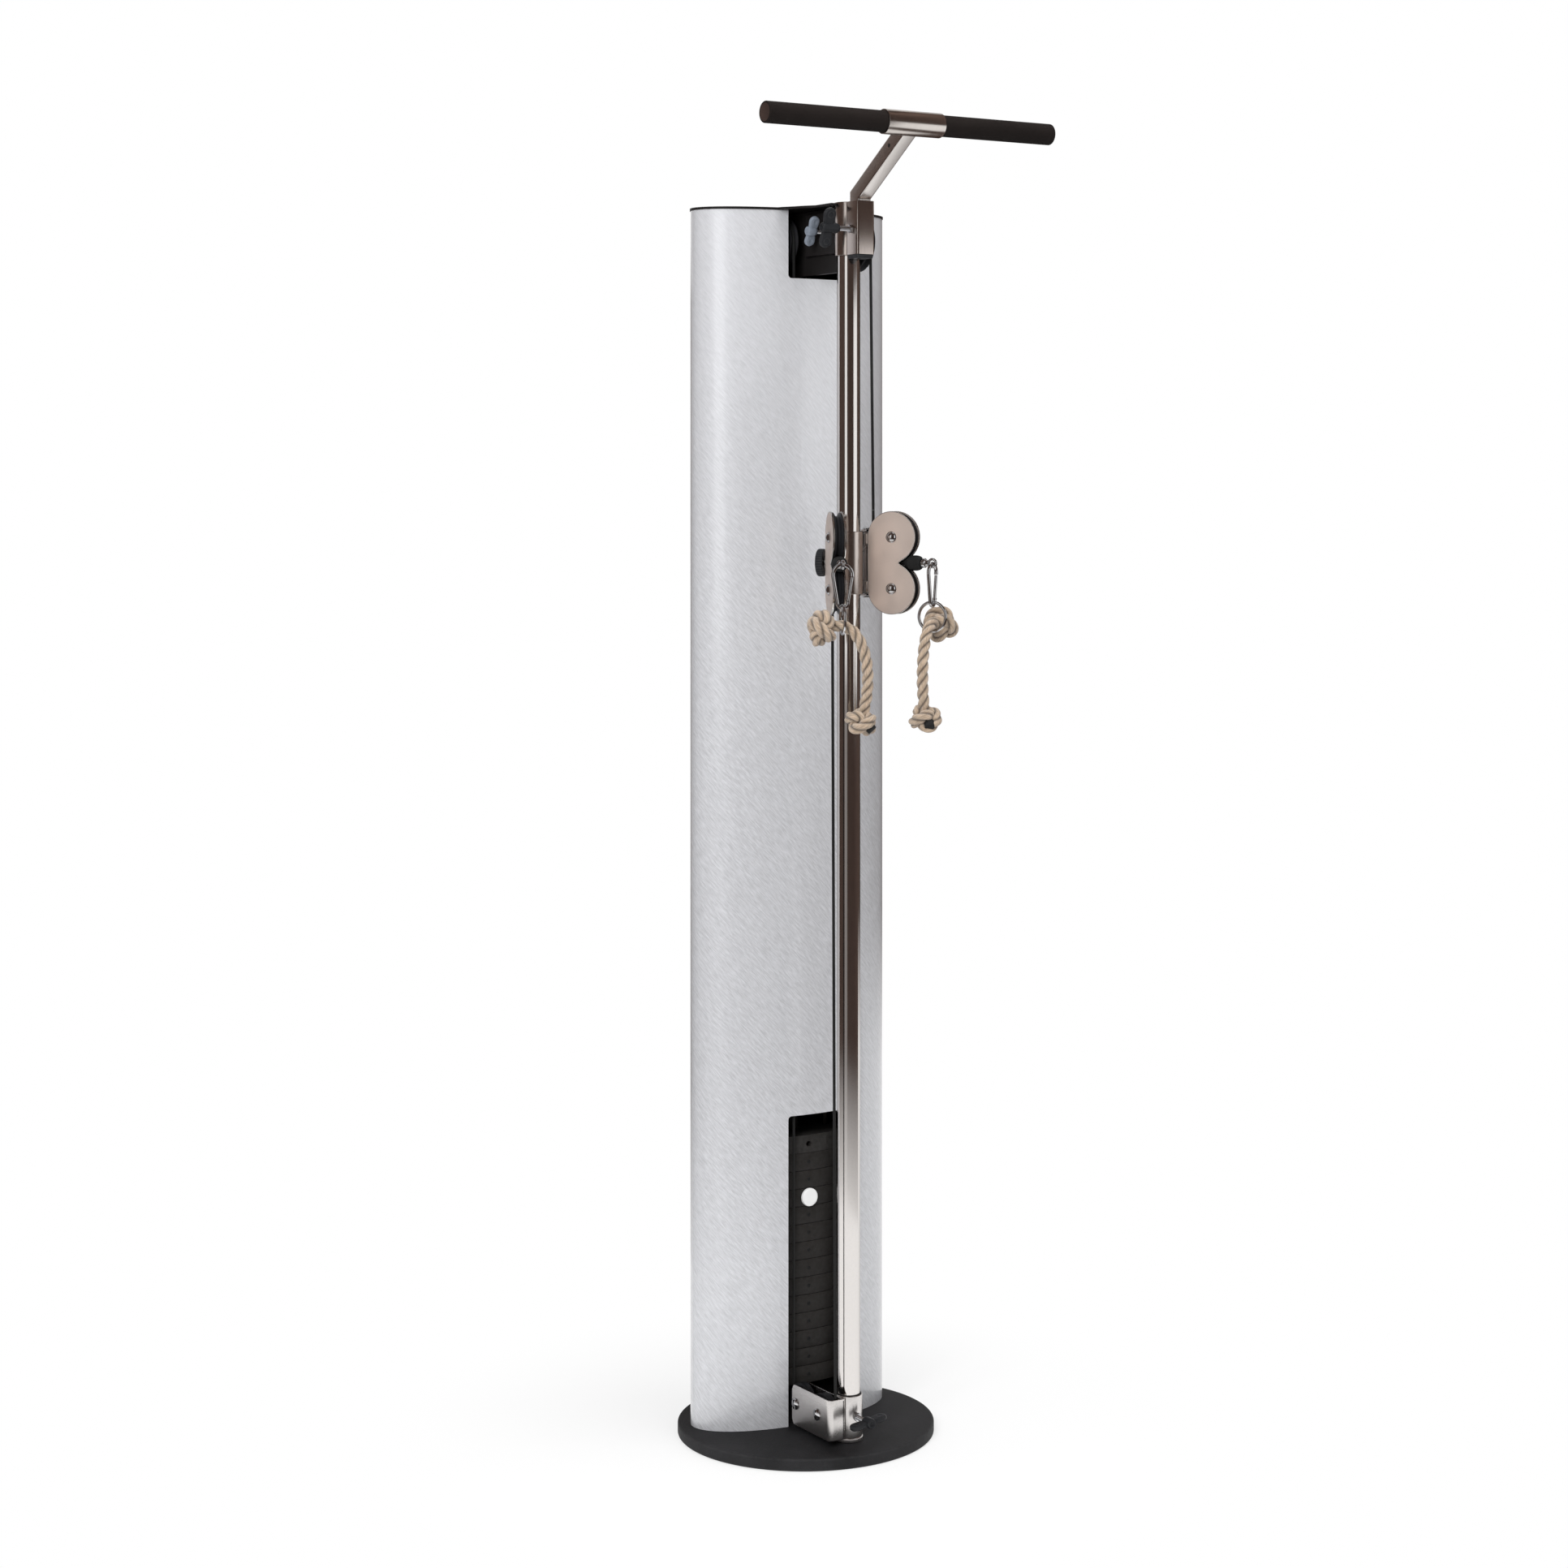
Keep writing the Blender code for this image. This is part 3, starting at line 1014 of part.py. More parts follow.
def hook(label, hinge):
    """Snap hook in the plane across the block, with its gate on the right, and the ring below it."""
    crown, foot, ring_height = hook_heights()
    top = (0.0, crown - HOOK_TOP_RADIUS)
    bottom = (0.0, foot + HOOK_BOTTOM_RADIUS)
    lean = math.degrees(math.asin((HOOK_TOP_RADIUS - HOOK_BOTTOM_RADIUS) / HOOK_CENTRE_DISTANCE))
    lower = arc(bottom, HOOK_BOTTOM_RADIUS, -lean, -180 + lean, 7)
    upper = arc(top, HOOK_TOP_RADIUS, 180 + lean, -lean, 10)
    nose = Vector(upper[-1])
    root = Vector(lower[0])
    along = (nose - root).normalized()
    inward = Vector((-along.y, along.x))
    pivot = root + along * 0.006
    body = wire(label + "_snap_hook", POLISHED_STEEL,
                [(x, 0.0, z) for x, z in (tuple(pivot), *lower, *upper)], HOOK_WIRE_RADIUS)
    body.matrix_world = Matrix.Translation((0, -EYE_AHEAD, 0))
    place_under(body, hinge)
    hinge_point = pivot + along * SEAT_GAP + inward * GATE_RADIUS
    gate_points = [pivot + along * SEAT_GAP - hinge_point, nose - along * GATE_TIP_GAP - hinge_point]
    gate = wire(label + "_hook_gate", POLISHED_STEEL, [(p.x, 0.0, p.y) for p in gate_points], GATE_RADIUS)
    gate.matrix_world = Matrix.Translation((hinge_point.x, -EYE_AHEAD, hinge_point.y))
    place_under(gate, hinge)
    drop = ring_height - foot
    loop = [(0.0, RING_RADIUS * math.cos(math.tau * i / 24), drop + RING_RADIUS * math.sin(math.tau * i / 24))
            for i in range(24)]
    ring = wire(label + "_ring", POLISHED_STEEL, loop, RING_WIRE_RADIUS, cyclic=True, resolution=1)
    ring.matrix_world = Matrix.Translation((0, -EYE_AHEAD, foot))
    place_under(ring, hinge)


def rope_route(side):
    """Centre line of a rope in (across, z), from the middle of its upper knot to its lower one.

    It rests on the foot of the ring, and its upper knot holds it on the outer side.
    """
    ring_height = hook_heights()[2]
    z = ring_height - RING_RADIUS + RING_WIRE_RADIUS + ROPE_RADIUS + SEAT_GAP
    steps = [(-KNOT_ASIDE / ROPE_SWING, -0.02), (-0.40, 0.003), (0.0, 0.004), (0.35, -0.04), (0.625, -0.125),
             (0.825, -0.237), (0.95, -0.362), (1.0, -0.493), (1.0, -0.625), (0.95, -0.75), (0.85, -0.88),
             (0.75, -1.0)]
    return [(-side * across * ROPE_SWING, z + drop * ROPE_DROP) for across, drop in steps]


def rope(label, side, hinge):
    route = rope_route(side)
    points = [(x, -EYE_AHEAD, z) for x, z in smooth_line(route, 2)]
    obj = wire(label + "_rope", HEMP, points, ROPE_RADIUS, resolution=2)
    for (x, z), squeeze in ((route[0], 1.0), (route[-1], 0.95)):
        work = bmesh.new()
        bmesh.ops.create_uvsphere(work, u_segments=12, v_segments=8, radius=KNOT_RADIUS)
        bmesh.ops.scale(work, vec=(1.0, squeeze, 1.0), verts=work.verts)
        mesh = bpy.data.meshes.new("knot")
        work.to_mesh(mesh)
        work.free()
        knot = finish(bpy.data.objects.new("knot", mesh), HEMP)
        knot.location = (x, -EYE_AHEAD, z)
        weld_on(obj, knot)
    place_under(baked(obj), hinge)


def smooth_line(points, count):
    """Points of a smooth curve that passes through every given point."""
    line = []
    last = len(points) - 1
    for i in range(last):
        before, here = Vector(points[max(i - 1, 0)]), Vector(points[i])
        there, after = Vector(points[i + 1]), Vector(points[min(i + 2, last)])
        for step in range(count):
            t = step / count
            line.append(tuple(0.5 * (2 * here + (there - before) * t
                                     + (2 * before - 5 * here + 4 * there - after) * t ** 2
                                     + (3 * here - before - 3 * there + after) * t ** 3)))
    line.append(tuple(points[-1]))
    return line


def turn_points(centre, radius, start, end, count):
    """Points on an arc in the (y, z) plane."""
    return arc(centre, radius, start, end, count)


def cables():
    """The one continuous cable, in the stretches that show or change length."""
    x = CABLE_LINE_ASIDE
    over = [*turn_points((FRONT_TOP_Y, FRONT_TOP_PULLEY_HEIGHT), FRONT_TOP_PITCH_RADIUS, 180, 90, 6),
            *turn_points((REAR_TOP_Y, REAR_TOP_HEIGHT), REAR_TOP_PITCH_RADIUS, 90, 0, 6)]
    back = [*turn_points((REAR_TOP_Y, REAR_TOP_HEIGHT), REAR_TOP_PITCH_RADIUS, 0, 180, 10),
            *turn_points((BOTTOM_REAR_Y, BOTTOM_PULLEY_HEIGHT), BOTTOM_PITCH_RADIUS, 0, -90, 6),
            *turn_points((BOTTOM_FRONT_Y, BOTTOM_PULLEY_HEIGHT), BOTTOM_PITCH_RADIUS, -90, -180, 6)]
    wire("top_cable", CABLE_SKIN, [(x, y, z) for y, z in over], CABLE_RADIUS, resolution=1)
    wire("return_cable", CABLE_SKIN, [(-x, y, z) for y, z in back], CABLE_RADIUS, resolution=1)
    hang = [(x, REAR_TOP_HEIGHT - SEAT_GAP),
            *arc((0, TRAVELLING_HEIGHT), TRAVELLING_PITCH_RADIUS, 0, -180, 12),
            (-x, REAR_TOP_HEIGHT - SEAT_GAP)]
    wire("stack_cable", CABLE_SKIN, [(px, STACK_CABLE_Y, z) for px, z in hang], CABLE_RADIUS, resolution=1)
    runs = (
        ("right_cable_run", 1, RIGHT_BLOCK_SWIVEL_DEGREES, FRONT_TOP_PULLEY_HEIGHT - SEAT_GAP),
        ("left_cable_run", -1, LEFT_BLOCK_SWIVEL_DEGREES, BOTTOM_PULLEY_HEIGHT + SEAT_GAP),
    )
    for name, side, swivel, fixed in runs:
        turn = math.radians(swivel)
        block_end = (side * x + CABLE_LINE_AHEAD * math.sin(turn),
                     TUBE_Y - CABLE_LINE_AHEAD * math.cos(turn),
                     CARRIAGE_HEIGHT_AT_REST + side * CABLE_PARTING)
        wire(name, CABLE_SKIN, [(side * x, FRONT_CABLE_Y, fixed), block_end], CABLE_RADIUS, resolution=1)


def build():
    base_plate()
    housing()
    cover()
    inner_frame()
    weight_stack()
    top_pulleys()
    bottom_pulleys()
    guide_tube()
    bottom_bracket()
    top_bracket()
    wing_screws()
    handle()
    carriage()
    block(-1, LEFT_BLOCK_SWIVEL_DEGREES)
    block(1, RIGHT_BLOCK_SWIVEL_DEGREES)
    cables()


build()
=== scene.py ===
"""Looks of the column cable machine: smooth surfaces, finishes, ropes, light and camera.

It is laid out as a Blender add-on and run as a script. Units are metres, +Z is up, and
the user stands at -Y. Every piece is made in the machine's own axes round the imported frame.
"""

import json

import bmesh
import bpy
import numpy as np
from bpy.props import FloatProperty, FloatVectorProperty, IntProperty, PointerProperty
from mathutils import Matrix, Vector
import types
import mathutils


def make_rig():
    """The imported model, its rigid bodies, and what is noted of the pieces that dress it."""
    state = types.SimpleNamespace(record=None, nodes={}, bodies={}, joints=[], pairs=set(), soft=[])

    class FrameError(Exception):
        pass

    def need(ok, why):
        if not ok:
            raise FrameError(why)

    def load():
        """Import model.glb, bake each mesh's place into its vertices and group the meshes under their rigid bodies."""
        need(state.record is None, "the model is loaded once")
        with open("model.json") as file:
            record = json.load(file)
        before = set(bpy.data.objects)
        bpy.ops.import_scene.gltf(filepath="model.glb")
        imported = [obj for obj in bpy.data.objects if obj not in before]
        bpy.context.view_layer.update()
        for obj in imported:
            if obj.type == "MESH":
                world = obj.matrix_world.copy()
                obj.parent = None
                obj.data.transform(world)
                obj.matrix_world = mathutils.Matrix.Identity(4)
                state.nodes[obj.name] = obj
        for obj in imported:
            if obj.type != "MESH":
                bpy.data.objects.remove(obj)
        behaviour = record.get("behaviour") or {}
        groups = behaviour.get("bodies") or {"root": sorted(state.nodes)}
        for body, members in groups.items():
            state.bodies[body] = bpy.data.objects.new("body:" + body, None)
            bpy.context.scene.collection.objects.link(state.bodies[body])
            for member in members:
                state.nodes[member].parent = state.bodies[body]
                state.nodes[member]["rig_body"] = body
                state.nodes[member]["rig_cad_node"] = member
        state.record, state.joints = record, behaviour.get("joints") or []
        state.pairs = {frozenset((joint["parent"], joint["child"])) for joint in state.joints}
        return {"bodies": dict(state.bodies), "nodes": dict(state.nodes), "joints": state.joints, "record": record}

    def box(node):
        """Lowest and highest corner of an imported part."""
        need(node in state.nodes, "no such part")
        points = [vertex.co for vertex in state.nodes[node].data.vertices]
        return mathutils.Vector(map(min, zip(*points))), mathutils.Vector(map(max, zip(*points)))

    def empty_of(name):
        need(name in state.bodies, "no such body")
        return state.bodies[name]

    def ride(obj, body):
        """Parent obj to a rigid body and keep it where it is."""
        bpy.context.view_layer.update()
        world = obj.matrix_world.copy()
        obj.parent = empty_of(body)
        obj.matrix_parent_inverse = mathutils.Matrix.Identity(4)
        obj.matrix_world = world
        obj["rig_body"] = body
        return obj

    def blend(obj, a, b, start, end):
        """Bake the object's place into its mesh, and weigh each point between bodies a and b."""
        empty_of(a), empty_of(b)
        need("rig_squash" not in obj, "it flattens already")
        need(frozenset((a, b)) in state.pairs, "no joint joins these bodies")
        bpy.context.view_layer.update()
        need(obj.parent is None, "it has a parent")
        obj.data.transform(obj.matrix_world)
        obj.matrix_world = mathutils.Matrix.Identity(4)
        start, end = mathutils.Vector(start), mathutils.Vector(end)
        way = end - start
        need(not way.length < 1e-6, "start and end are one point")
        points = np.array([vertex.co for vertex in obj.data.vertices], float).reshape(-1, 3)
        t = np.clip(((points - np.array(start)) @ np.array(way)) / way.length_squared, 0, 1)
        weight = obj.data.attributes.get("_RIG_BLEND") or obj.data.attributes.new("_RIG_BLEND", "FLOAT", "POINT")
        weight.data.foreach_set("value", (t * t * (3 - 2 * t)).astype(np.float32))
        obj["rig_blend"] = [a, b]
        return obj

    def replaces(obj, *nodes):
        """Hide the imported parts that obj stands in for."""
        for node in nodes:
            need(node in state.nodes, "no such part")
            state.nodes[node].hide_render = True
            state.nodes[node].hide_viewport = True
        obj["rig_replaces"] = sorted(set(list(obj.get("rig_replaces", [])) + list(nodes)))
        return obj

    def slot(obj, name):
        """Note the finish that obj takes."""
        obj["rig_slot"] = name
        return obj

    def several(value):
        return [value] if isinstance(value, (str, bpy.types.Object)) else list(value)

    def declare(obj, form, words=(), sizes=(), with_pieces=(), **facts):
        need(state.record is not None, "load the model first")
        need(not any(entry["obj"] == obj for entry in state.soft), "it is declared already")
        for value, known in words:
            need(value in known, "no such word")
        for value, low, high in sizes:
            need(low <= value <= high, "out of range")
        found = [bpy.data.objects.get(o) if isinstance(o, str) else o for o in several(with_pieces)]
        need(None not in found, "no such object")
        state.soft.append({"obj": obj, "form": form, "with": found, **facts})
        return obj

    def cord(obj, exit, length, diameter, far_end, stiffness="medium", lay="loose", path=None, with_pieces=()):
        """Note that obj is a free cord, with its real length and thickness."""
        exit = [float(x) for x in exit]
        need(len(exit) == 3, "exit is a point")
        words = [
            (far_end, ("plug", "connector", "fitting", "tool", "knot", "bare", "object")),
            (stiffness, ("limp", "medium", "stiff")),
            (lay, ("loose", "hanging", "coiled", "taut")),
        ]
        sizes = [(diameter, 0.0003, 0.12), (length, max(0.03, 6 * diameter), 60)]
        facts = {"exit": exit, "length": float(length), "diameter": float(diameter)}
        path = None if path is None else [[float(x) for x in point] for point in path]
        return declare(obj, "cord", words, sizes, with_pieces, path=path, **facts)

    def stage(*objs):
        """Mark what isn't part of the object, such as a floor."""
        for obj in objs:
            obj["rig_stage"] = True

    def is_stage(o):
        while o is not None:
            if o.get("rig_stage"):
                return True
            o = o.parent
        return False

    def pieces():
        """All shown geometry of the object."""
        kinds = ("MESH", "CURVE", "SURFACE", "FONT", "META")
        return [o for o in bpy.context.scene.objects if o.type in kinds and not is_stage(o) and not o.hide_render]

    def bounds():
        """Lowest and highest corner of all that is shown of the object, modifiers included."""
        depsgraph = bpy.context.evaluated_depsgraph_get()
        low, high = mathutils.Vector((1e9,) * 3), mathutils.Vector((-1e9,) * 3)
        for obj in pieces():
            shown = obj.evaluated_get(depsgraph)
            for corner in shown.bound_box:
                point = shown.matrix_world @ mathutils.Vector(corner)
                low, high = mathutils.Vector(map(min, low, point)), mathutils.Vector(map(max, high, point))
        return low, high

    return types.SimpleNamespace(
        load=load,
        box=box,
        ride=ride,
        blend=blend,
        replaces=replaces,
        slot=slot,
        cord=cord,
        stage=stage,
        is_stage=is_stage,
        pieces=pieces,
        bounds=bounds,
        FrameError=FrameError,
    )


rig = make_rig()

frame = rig.load()
CAD_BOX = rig.bounds()

bl_info = {
    "name": "Cable machine looks",
    "version": (1, 0, 0),
    "blender": (4, 5, 0),
    "location": "View3D > Sidebar > Cable machine",
    "description": "Smooth pieces, finishes and studio for the column cable machine",
    "category": "Object",
}

TAU = 2 * np.pi
SIDES = {"left": -1, "right": 1}
SEAT_GAP = 0.0003  # between pieces that sit on each other


# Places from the frame

def joint_place(name):
    """Point on a joint and its axis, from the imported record."""
    for joint in frame["joints"]:
        if joint["name"] == name:
            return np.array(joint.get("pos_m", (0, 0, 0)), float), np.array(joint["axis"], float)
    raise RuntimeError(f"the frame has no joint named {name}")


def body_of(node):
    """Body of the record that holds a node."""
    for body, members in frame["record"]["behaviour"]["bodies"].items():
        if node in members:
            return body
    raise RuntimeError(f"no body has the node {node}")


def box_of(node):
    """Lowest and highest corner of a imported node."""
    low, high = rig.box(node)
    return np.array(low), np.array(high)


def middle_of(node):
    """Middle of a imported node's box."""
    return sum(box_of(node)) / 2


TUBE_LOW, TUBE_HIGH = box_of("guide_tube")
TUBE_RADIUS = (TUBE_HIGH[0] - TUBE_LOW[0]) / 2
TUBE_BORE = TUBE_RADIUS + SEAT_GAP
TUBE_Y = middle_of("guide_tube")[1]
SOCKET_Y = TUBE_Y - 0.0345
SHELL_LOW, SHELL_HIGH = box_of("front_shell")
REAR_HIGH = box_of("rear_shell")[1]
COLUMN_HALF_WIDTH = (SHELL_HIGH[0] - SHELL_LOW[0]) / 2
COLUMN_Y = (SHELL_LOW[1] + REAR_HIGH[1]) / 2
COLUMN_HALF_DEPTH = (REAR_HIGH[1] - SHELL_LOW[1]) / 2
HINGE_HEIGHT = joint_place("right_block_swivel")[0][2]
CABLE_RADIUS = 0.0024


def at(x, y, z):
    return Matrix.Translation((x, y, z))


def block_matrix(label):
    """From a block's own axes, with its wheels towards -Y, to the machine's."""
    hinge = joint_place(label + "_block_swivel")[0]
    across = joint_place(label + "_upper_pulley_spin")[1]
    turn = np.arctan2(across[1], across[0])
    return at(*hinge) @ Matrix.Rotation(turn, 4, "Z")


def axis_matrix(place, axis):
    """Puts a profile turned about Z on another axis."""
    return at(*place) @ Vector(axis).to_track_quat("Z", "Y").to_matrix().to_4x4()


# A drawing in (y, z) is laid across X, and one in (x, z) across Y
SIDEWAYS = Matrix(((0, 0, 1, 0), (1, 0, 0, 0), (0, 1, 0, 0), (0, 0, 0, 1)))
FACING = Matrix(((1, 0, 0, 0), (0, 0, -1, 0), (0, 1, 0, 0), (0, 0, 0, 1)))


# Outlines and profiles

def arc_points(centre, radius, start, end, count):
    """Points centre + radius (cos a, sin a), for a from start to end in degrees."""
    a = np.radians(np.linspace(start, end, count + 1))
    return np.stack([centre[0] + radius * np.cos(a), centre[1] + radius * np.sin(a)], -1)


def soften(points, radius, steps=4, closed=False):
    """Each corner B between A and C gives way to the curve (1-t)^2 P + 2t(1-t) B + t^2 Q,
    whose ends P and Q lie a radius from B, or less where a side is short."""
    b = np.asarray(points, float)
    a, c = np.roll(b, 1, 0), np.roll(b, -1, 0)
    to_a, to_c = a - b, c - b
    long_a = np.linalg.norm(to_a, axis=1, keepdims=True) + 1e-12
    long_c = np.linalg.norm(to_c, axis=1, keepdims=True) + 1e-12
    p = b + to_a / long_a * np.minimum(radius, 0.45 * long_a)
    q = b + to_c / long_c * np.minimum(radius, 0.45 * long_c)
    t = np.linspace(0, 1, steps + 1)[None, :, None]
    curve = (1 - t) ** 2 * p[:, None] + 2 * t * (1 - t) * b[:, None] + t ** 2 * q[:, None]
    if closed:
        return curve.reshape(-1, b.shape[1])
    return np.concatenate([b[:1], curve[1:-1].reshape(-1, b.shape[1]), b[-1:]])


def round_section(radius, count=16):
    """Points radius (cos a, sin a), once round."""
    a = np.linspace(0, TAU, count, endpoint=False)
    return np.stack([radius * np.cos(a), radius * np.sin(a)], -1)


def square_section(width, height, corner, steps=4):
    """Rectangle about its middle with softened corners."""
    x, y = width / 2, height / 2
    return soften([(-x, -y), (x, -y), (x, y), (-x, y)], corner, steps, closed=True)


def smooth_line(points, count):
    """Curve through every point: half of 2B + (C-A)t + (2A-5B+4C-D)t^2 + (3B-A-3C+D)t^3,
    for each point B with A before it and C and D after it."""
    b = np.asarray(points, float)
    a = np.concatenate([b[:1], b[:-2]])
    c, d = b[1:], np.concatenate([b[2:], b[-1:]])
    b = b[:-1]
    t = np.linspace(0, 1, count, endpoint=False)[None, :, None]
    a, b, c, d = (v[:, None] for v in (a, b, c, d))
    line = 0.5 * (2 * b + (c - a) * t + (2 * a - 5 * b + 4 * c - d) * t ** 2
                  + (3 * b - a - 3 * c + d) * t ** 3)
    return np.concatenate([line.reshape(-1, line.shape[-1]), np.asarray(points, float)[-1:]])


def run_lengths(points):
    """Distance along a line of points, from its first one."""
    steps = np.linalg.norm(np.diff(points, axis=0), axis=1)
    return np.concatenate([[0.0], np.cumsum(steps)])


# Surfaces

class Surface:
    """Points, faces and pattern coordinates of one surface, with its finish."""

    def __init__(self, points, faces, uv=None, finish=None, groove=None):
        self.points = np.asarray(points, float)
        self.faces = faces
        self.uv = np.zeros((len(self.points), 2)) if uv is None else uv
        self.finish = finish
        # groove: how deep each point lies in a rope's groove, used for painted shade.
        self.groove = np.zeros(len(self.points)) if groove is None else groove

    def moved(self, matrix):
        m = np.array(matrix)
        points = self.points @ m[:3, :3].T + m[:3, 3]
        return Surface(points, self.faces, self.uv, self.finish, self.groove)


def moved(surfaces, matrix):
    """The same surfaces at another place."""
    return [s.moved(matrix) for s in surfaces]


def grid_faces(rows, columns, wrap_rows=False, wrap_columns=False):
    """Four corners of each cell of a grid of points."""
    r, c = np.meshgrid(np.arange(rows if wrap_rows else rows - 1),
                       np.arange(columns if wrap_columns else columns - 1), indexing="ij")
    r2, c2 = (r + 1) % rows, (c + 1) % columns
    corners = [r * columns + c, r * columns + c2, r2 * columns + c2, r2 * columns + c]
    return np.stack(corners, -1).reshape(-1, 4)


def end_caps(rows, columns):
    """The first and the last row of a grid of points, each as one face."""
    return [list(range(columns)), list(range((rows - 1) * columns, rows * columns))]


def revolve(profile, finish, count=64, ribs=0, rib_depth=0.0):
    """x = r(t) cos a, y = r(t) sin a, z = h(t), for a profile (r, h). Ribs make r wider
    by rib_depth cos(ribs a). A profile off the axis is closed into a ring."""
    profile = np.asarray(profile, float)
    a = np.linspace(0, TAU, count, endpoint=False)
    swell = rib_depth * np.cos(ribs * a)[None] * (profile[:, :1] > 0.8 * profile[:, 0].max())
    r = profile[:, :1] + swell
    h = np.repeat(profile[:, 1:], count, 1)
    points = np.stack([r * np.cos(a), r * np.sin(a), h], -1).reshape(-1, 3)
    ring = profile[0, 0] > 1e-9
    uv = np.stack(np.meshgrid(a / TAU, run_lengths(profile)), -1).reshape(-1, 2)
    return Surface(points, grid_faces(len(profile), count, ring, True).tolist(), uv, finish)


def turned_at(profile, finish, place, axis=(0, 0, 1), count=64, **ribs):
    """A profile turned about an axis through a place."""
    return revolve(profile, finish, count, **ribs).moved(axis_matrix(place, axis))


def ring_profile(inner, outer, low, high, edge=0.0008, steps=3):
    """Cut (r, h) through a ring's wall, with softened corners."""
    return soften([(inner, low), (outer, low), (outer, high), (inner, high)], edge, steps, True)


def sweep(path, section, reference, finish, closed=False, groove=None):
    """p(s) + x(t, s) side(s) + y(t, s) up(s), for a section (x, y) carried along the path p,
    where side is the tangent crossed with the reference and up is side crossed with it."""
    path = np.asarray(path, float)
    if closed:
        tangent = np.roll(path, -1, 0) - np.roll(path, 1, 0)
    else:
        tangent = np.gradient(path, axis=0)
    tangent /= np.linalg.norm(tangent, axis=1, keepdims=True)
    side = np.cross(tangent, np.broadcast_to(reference, path.shape))
    side /= np.linalg.norm(side, axis=1, keepdims=True)
    up = np.cross(side, tangent)
    section = np.asarray(section, float)
    if section.ndim == 2:
        section = np.broadcast_to(section, (len(path), *section.shape))
    points = path[:, None] + section[..., :1] * side[:, None] + section[..., 1:] * up[:, None]
    rows, columns = points.shape[:2]
    faces = grid_faces(rows, columns, closed, True).tolist()
    if not closed:
        faces += end_caps(rows, columns)
    along = np.linspace(0, 1, columns, endpoint=False)
    uv = np.stack(np.meshgrid(along, run_lengths(path)), -1).reshape(-1, 2)
    return Surface(points.reshape(-1, 3), faces, uv, finish, None if groove is None else groove.reshape(-1))


def slab(outline, thickness, edge, finish, edge_finish=None, steps=3):
    """Rings of the outline, moved inwards by edge (1 - sin a) at height T/2 - edge (1 - cos a)
    for a from 0 to 90 degrees, and the same below. One more ring inside keeps the flat sides
    flat."""
    outline = np.asarray(outline, float)
    ahead = np.roll(outline, -1, 0) - np.roll(outline, 1, 0)
    out = np.stack([ahead[:, 1], -ahead[:, 0]], -1)
    out /= np.linalg.norm(out, axis=1, keepdims=True) + 1e-12
    turns = outline * np.roll(outline, -1, 0)[:, ::-1]
    if (turns[:, 0] - turns[:, 1]).sum() < 0:
        out = -out
    a = np.linspace(0, np.pi / 2, steps + 1)
    inset = np.concatenate([[1.8 * edge], edge * (1 - np.sin(a))])
    height = np.concatenate([[thickness / 2], thickness / 2 - edge * (1 - np.cos(a))])
    inset = np.concatenate([inset, inset[::-1]])
    height = np.concatenate([height, -height[::-1]])
    flat = outline[None] - out[None] * inset[:, None, None]
    points = np.concatenate([flat, np.broadcast_to(height[:, None, None], (*flat.shape[:2], 1))], -1)
    rows, columns = flat.shape[:2]
    uv = points[..., :2].reshape(-1, 2)
    points = points.reshape(-1, 3)
    rim = Surface(points, grid_faces(rows, columns, False, True).tolist(), uv, edge_finish or finish)
    return [rim, Surface(points, end_caps(rows, columns), uv, finish)]


def hollow(outer, inner, low, high, finish, edge):
    """Wall between two upright outlines with as many points each, its top edge rounded."""
    outer, inner = np.asarray(outer, float), np.asarray(inner, float)
    step = (inner - outer) / np.linalg.norm(inner - outer, axis=1, keepdims=True)
    rings = [(outer, low), (outer, high - edge), (outer + step * 0.3 * edge, high - 0.3 * edge),
             (outer + step * edge, high), (inner, high), (inner, low)]
    points = np.concatenate([np.column_stack([line, np.full(len(line), z)]) for line, z in rings])
    uv = np.concatenate([np.column_stack([run_lengths(line), np.full(len(line), z)]) for line, z in rings])
    return Surface(points, grid_faces(len(rings), len(outer), True, True).tolist(), uv, finish)


def thickened(outer, inner, uv, faces, finishes):
    """Closed wall between two sheets with the same faces: both sheets, and a strip along
    each edge that only one face has. Finishes are for the outside, the inside and the rim."""
    faces = np.asarray(faces)
    count = len(outer)
    sides = np.concatenate([faces[:, [i, (i + 1) % 4]] for i in range(4)])
    _, where, times = np.unique(np.sort(sides, 1), axis=0, return_inverse=True, return_counts=True)
    start, end = sides[times[where.ravel()] == 1].T
    strip = np.stack([end, start, start + count, end + count], -1)
    points, uv = np.concatenate([outer, inner]), np.concatenate([uv, uv])
    groups = (faces, faces[:, ::-1] + count, strip)
    return [Surface(points, group.tolist(), uv, finish) for group, finish in zip(groups, finishes)]


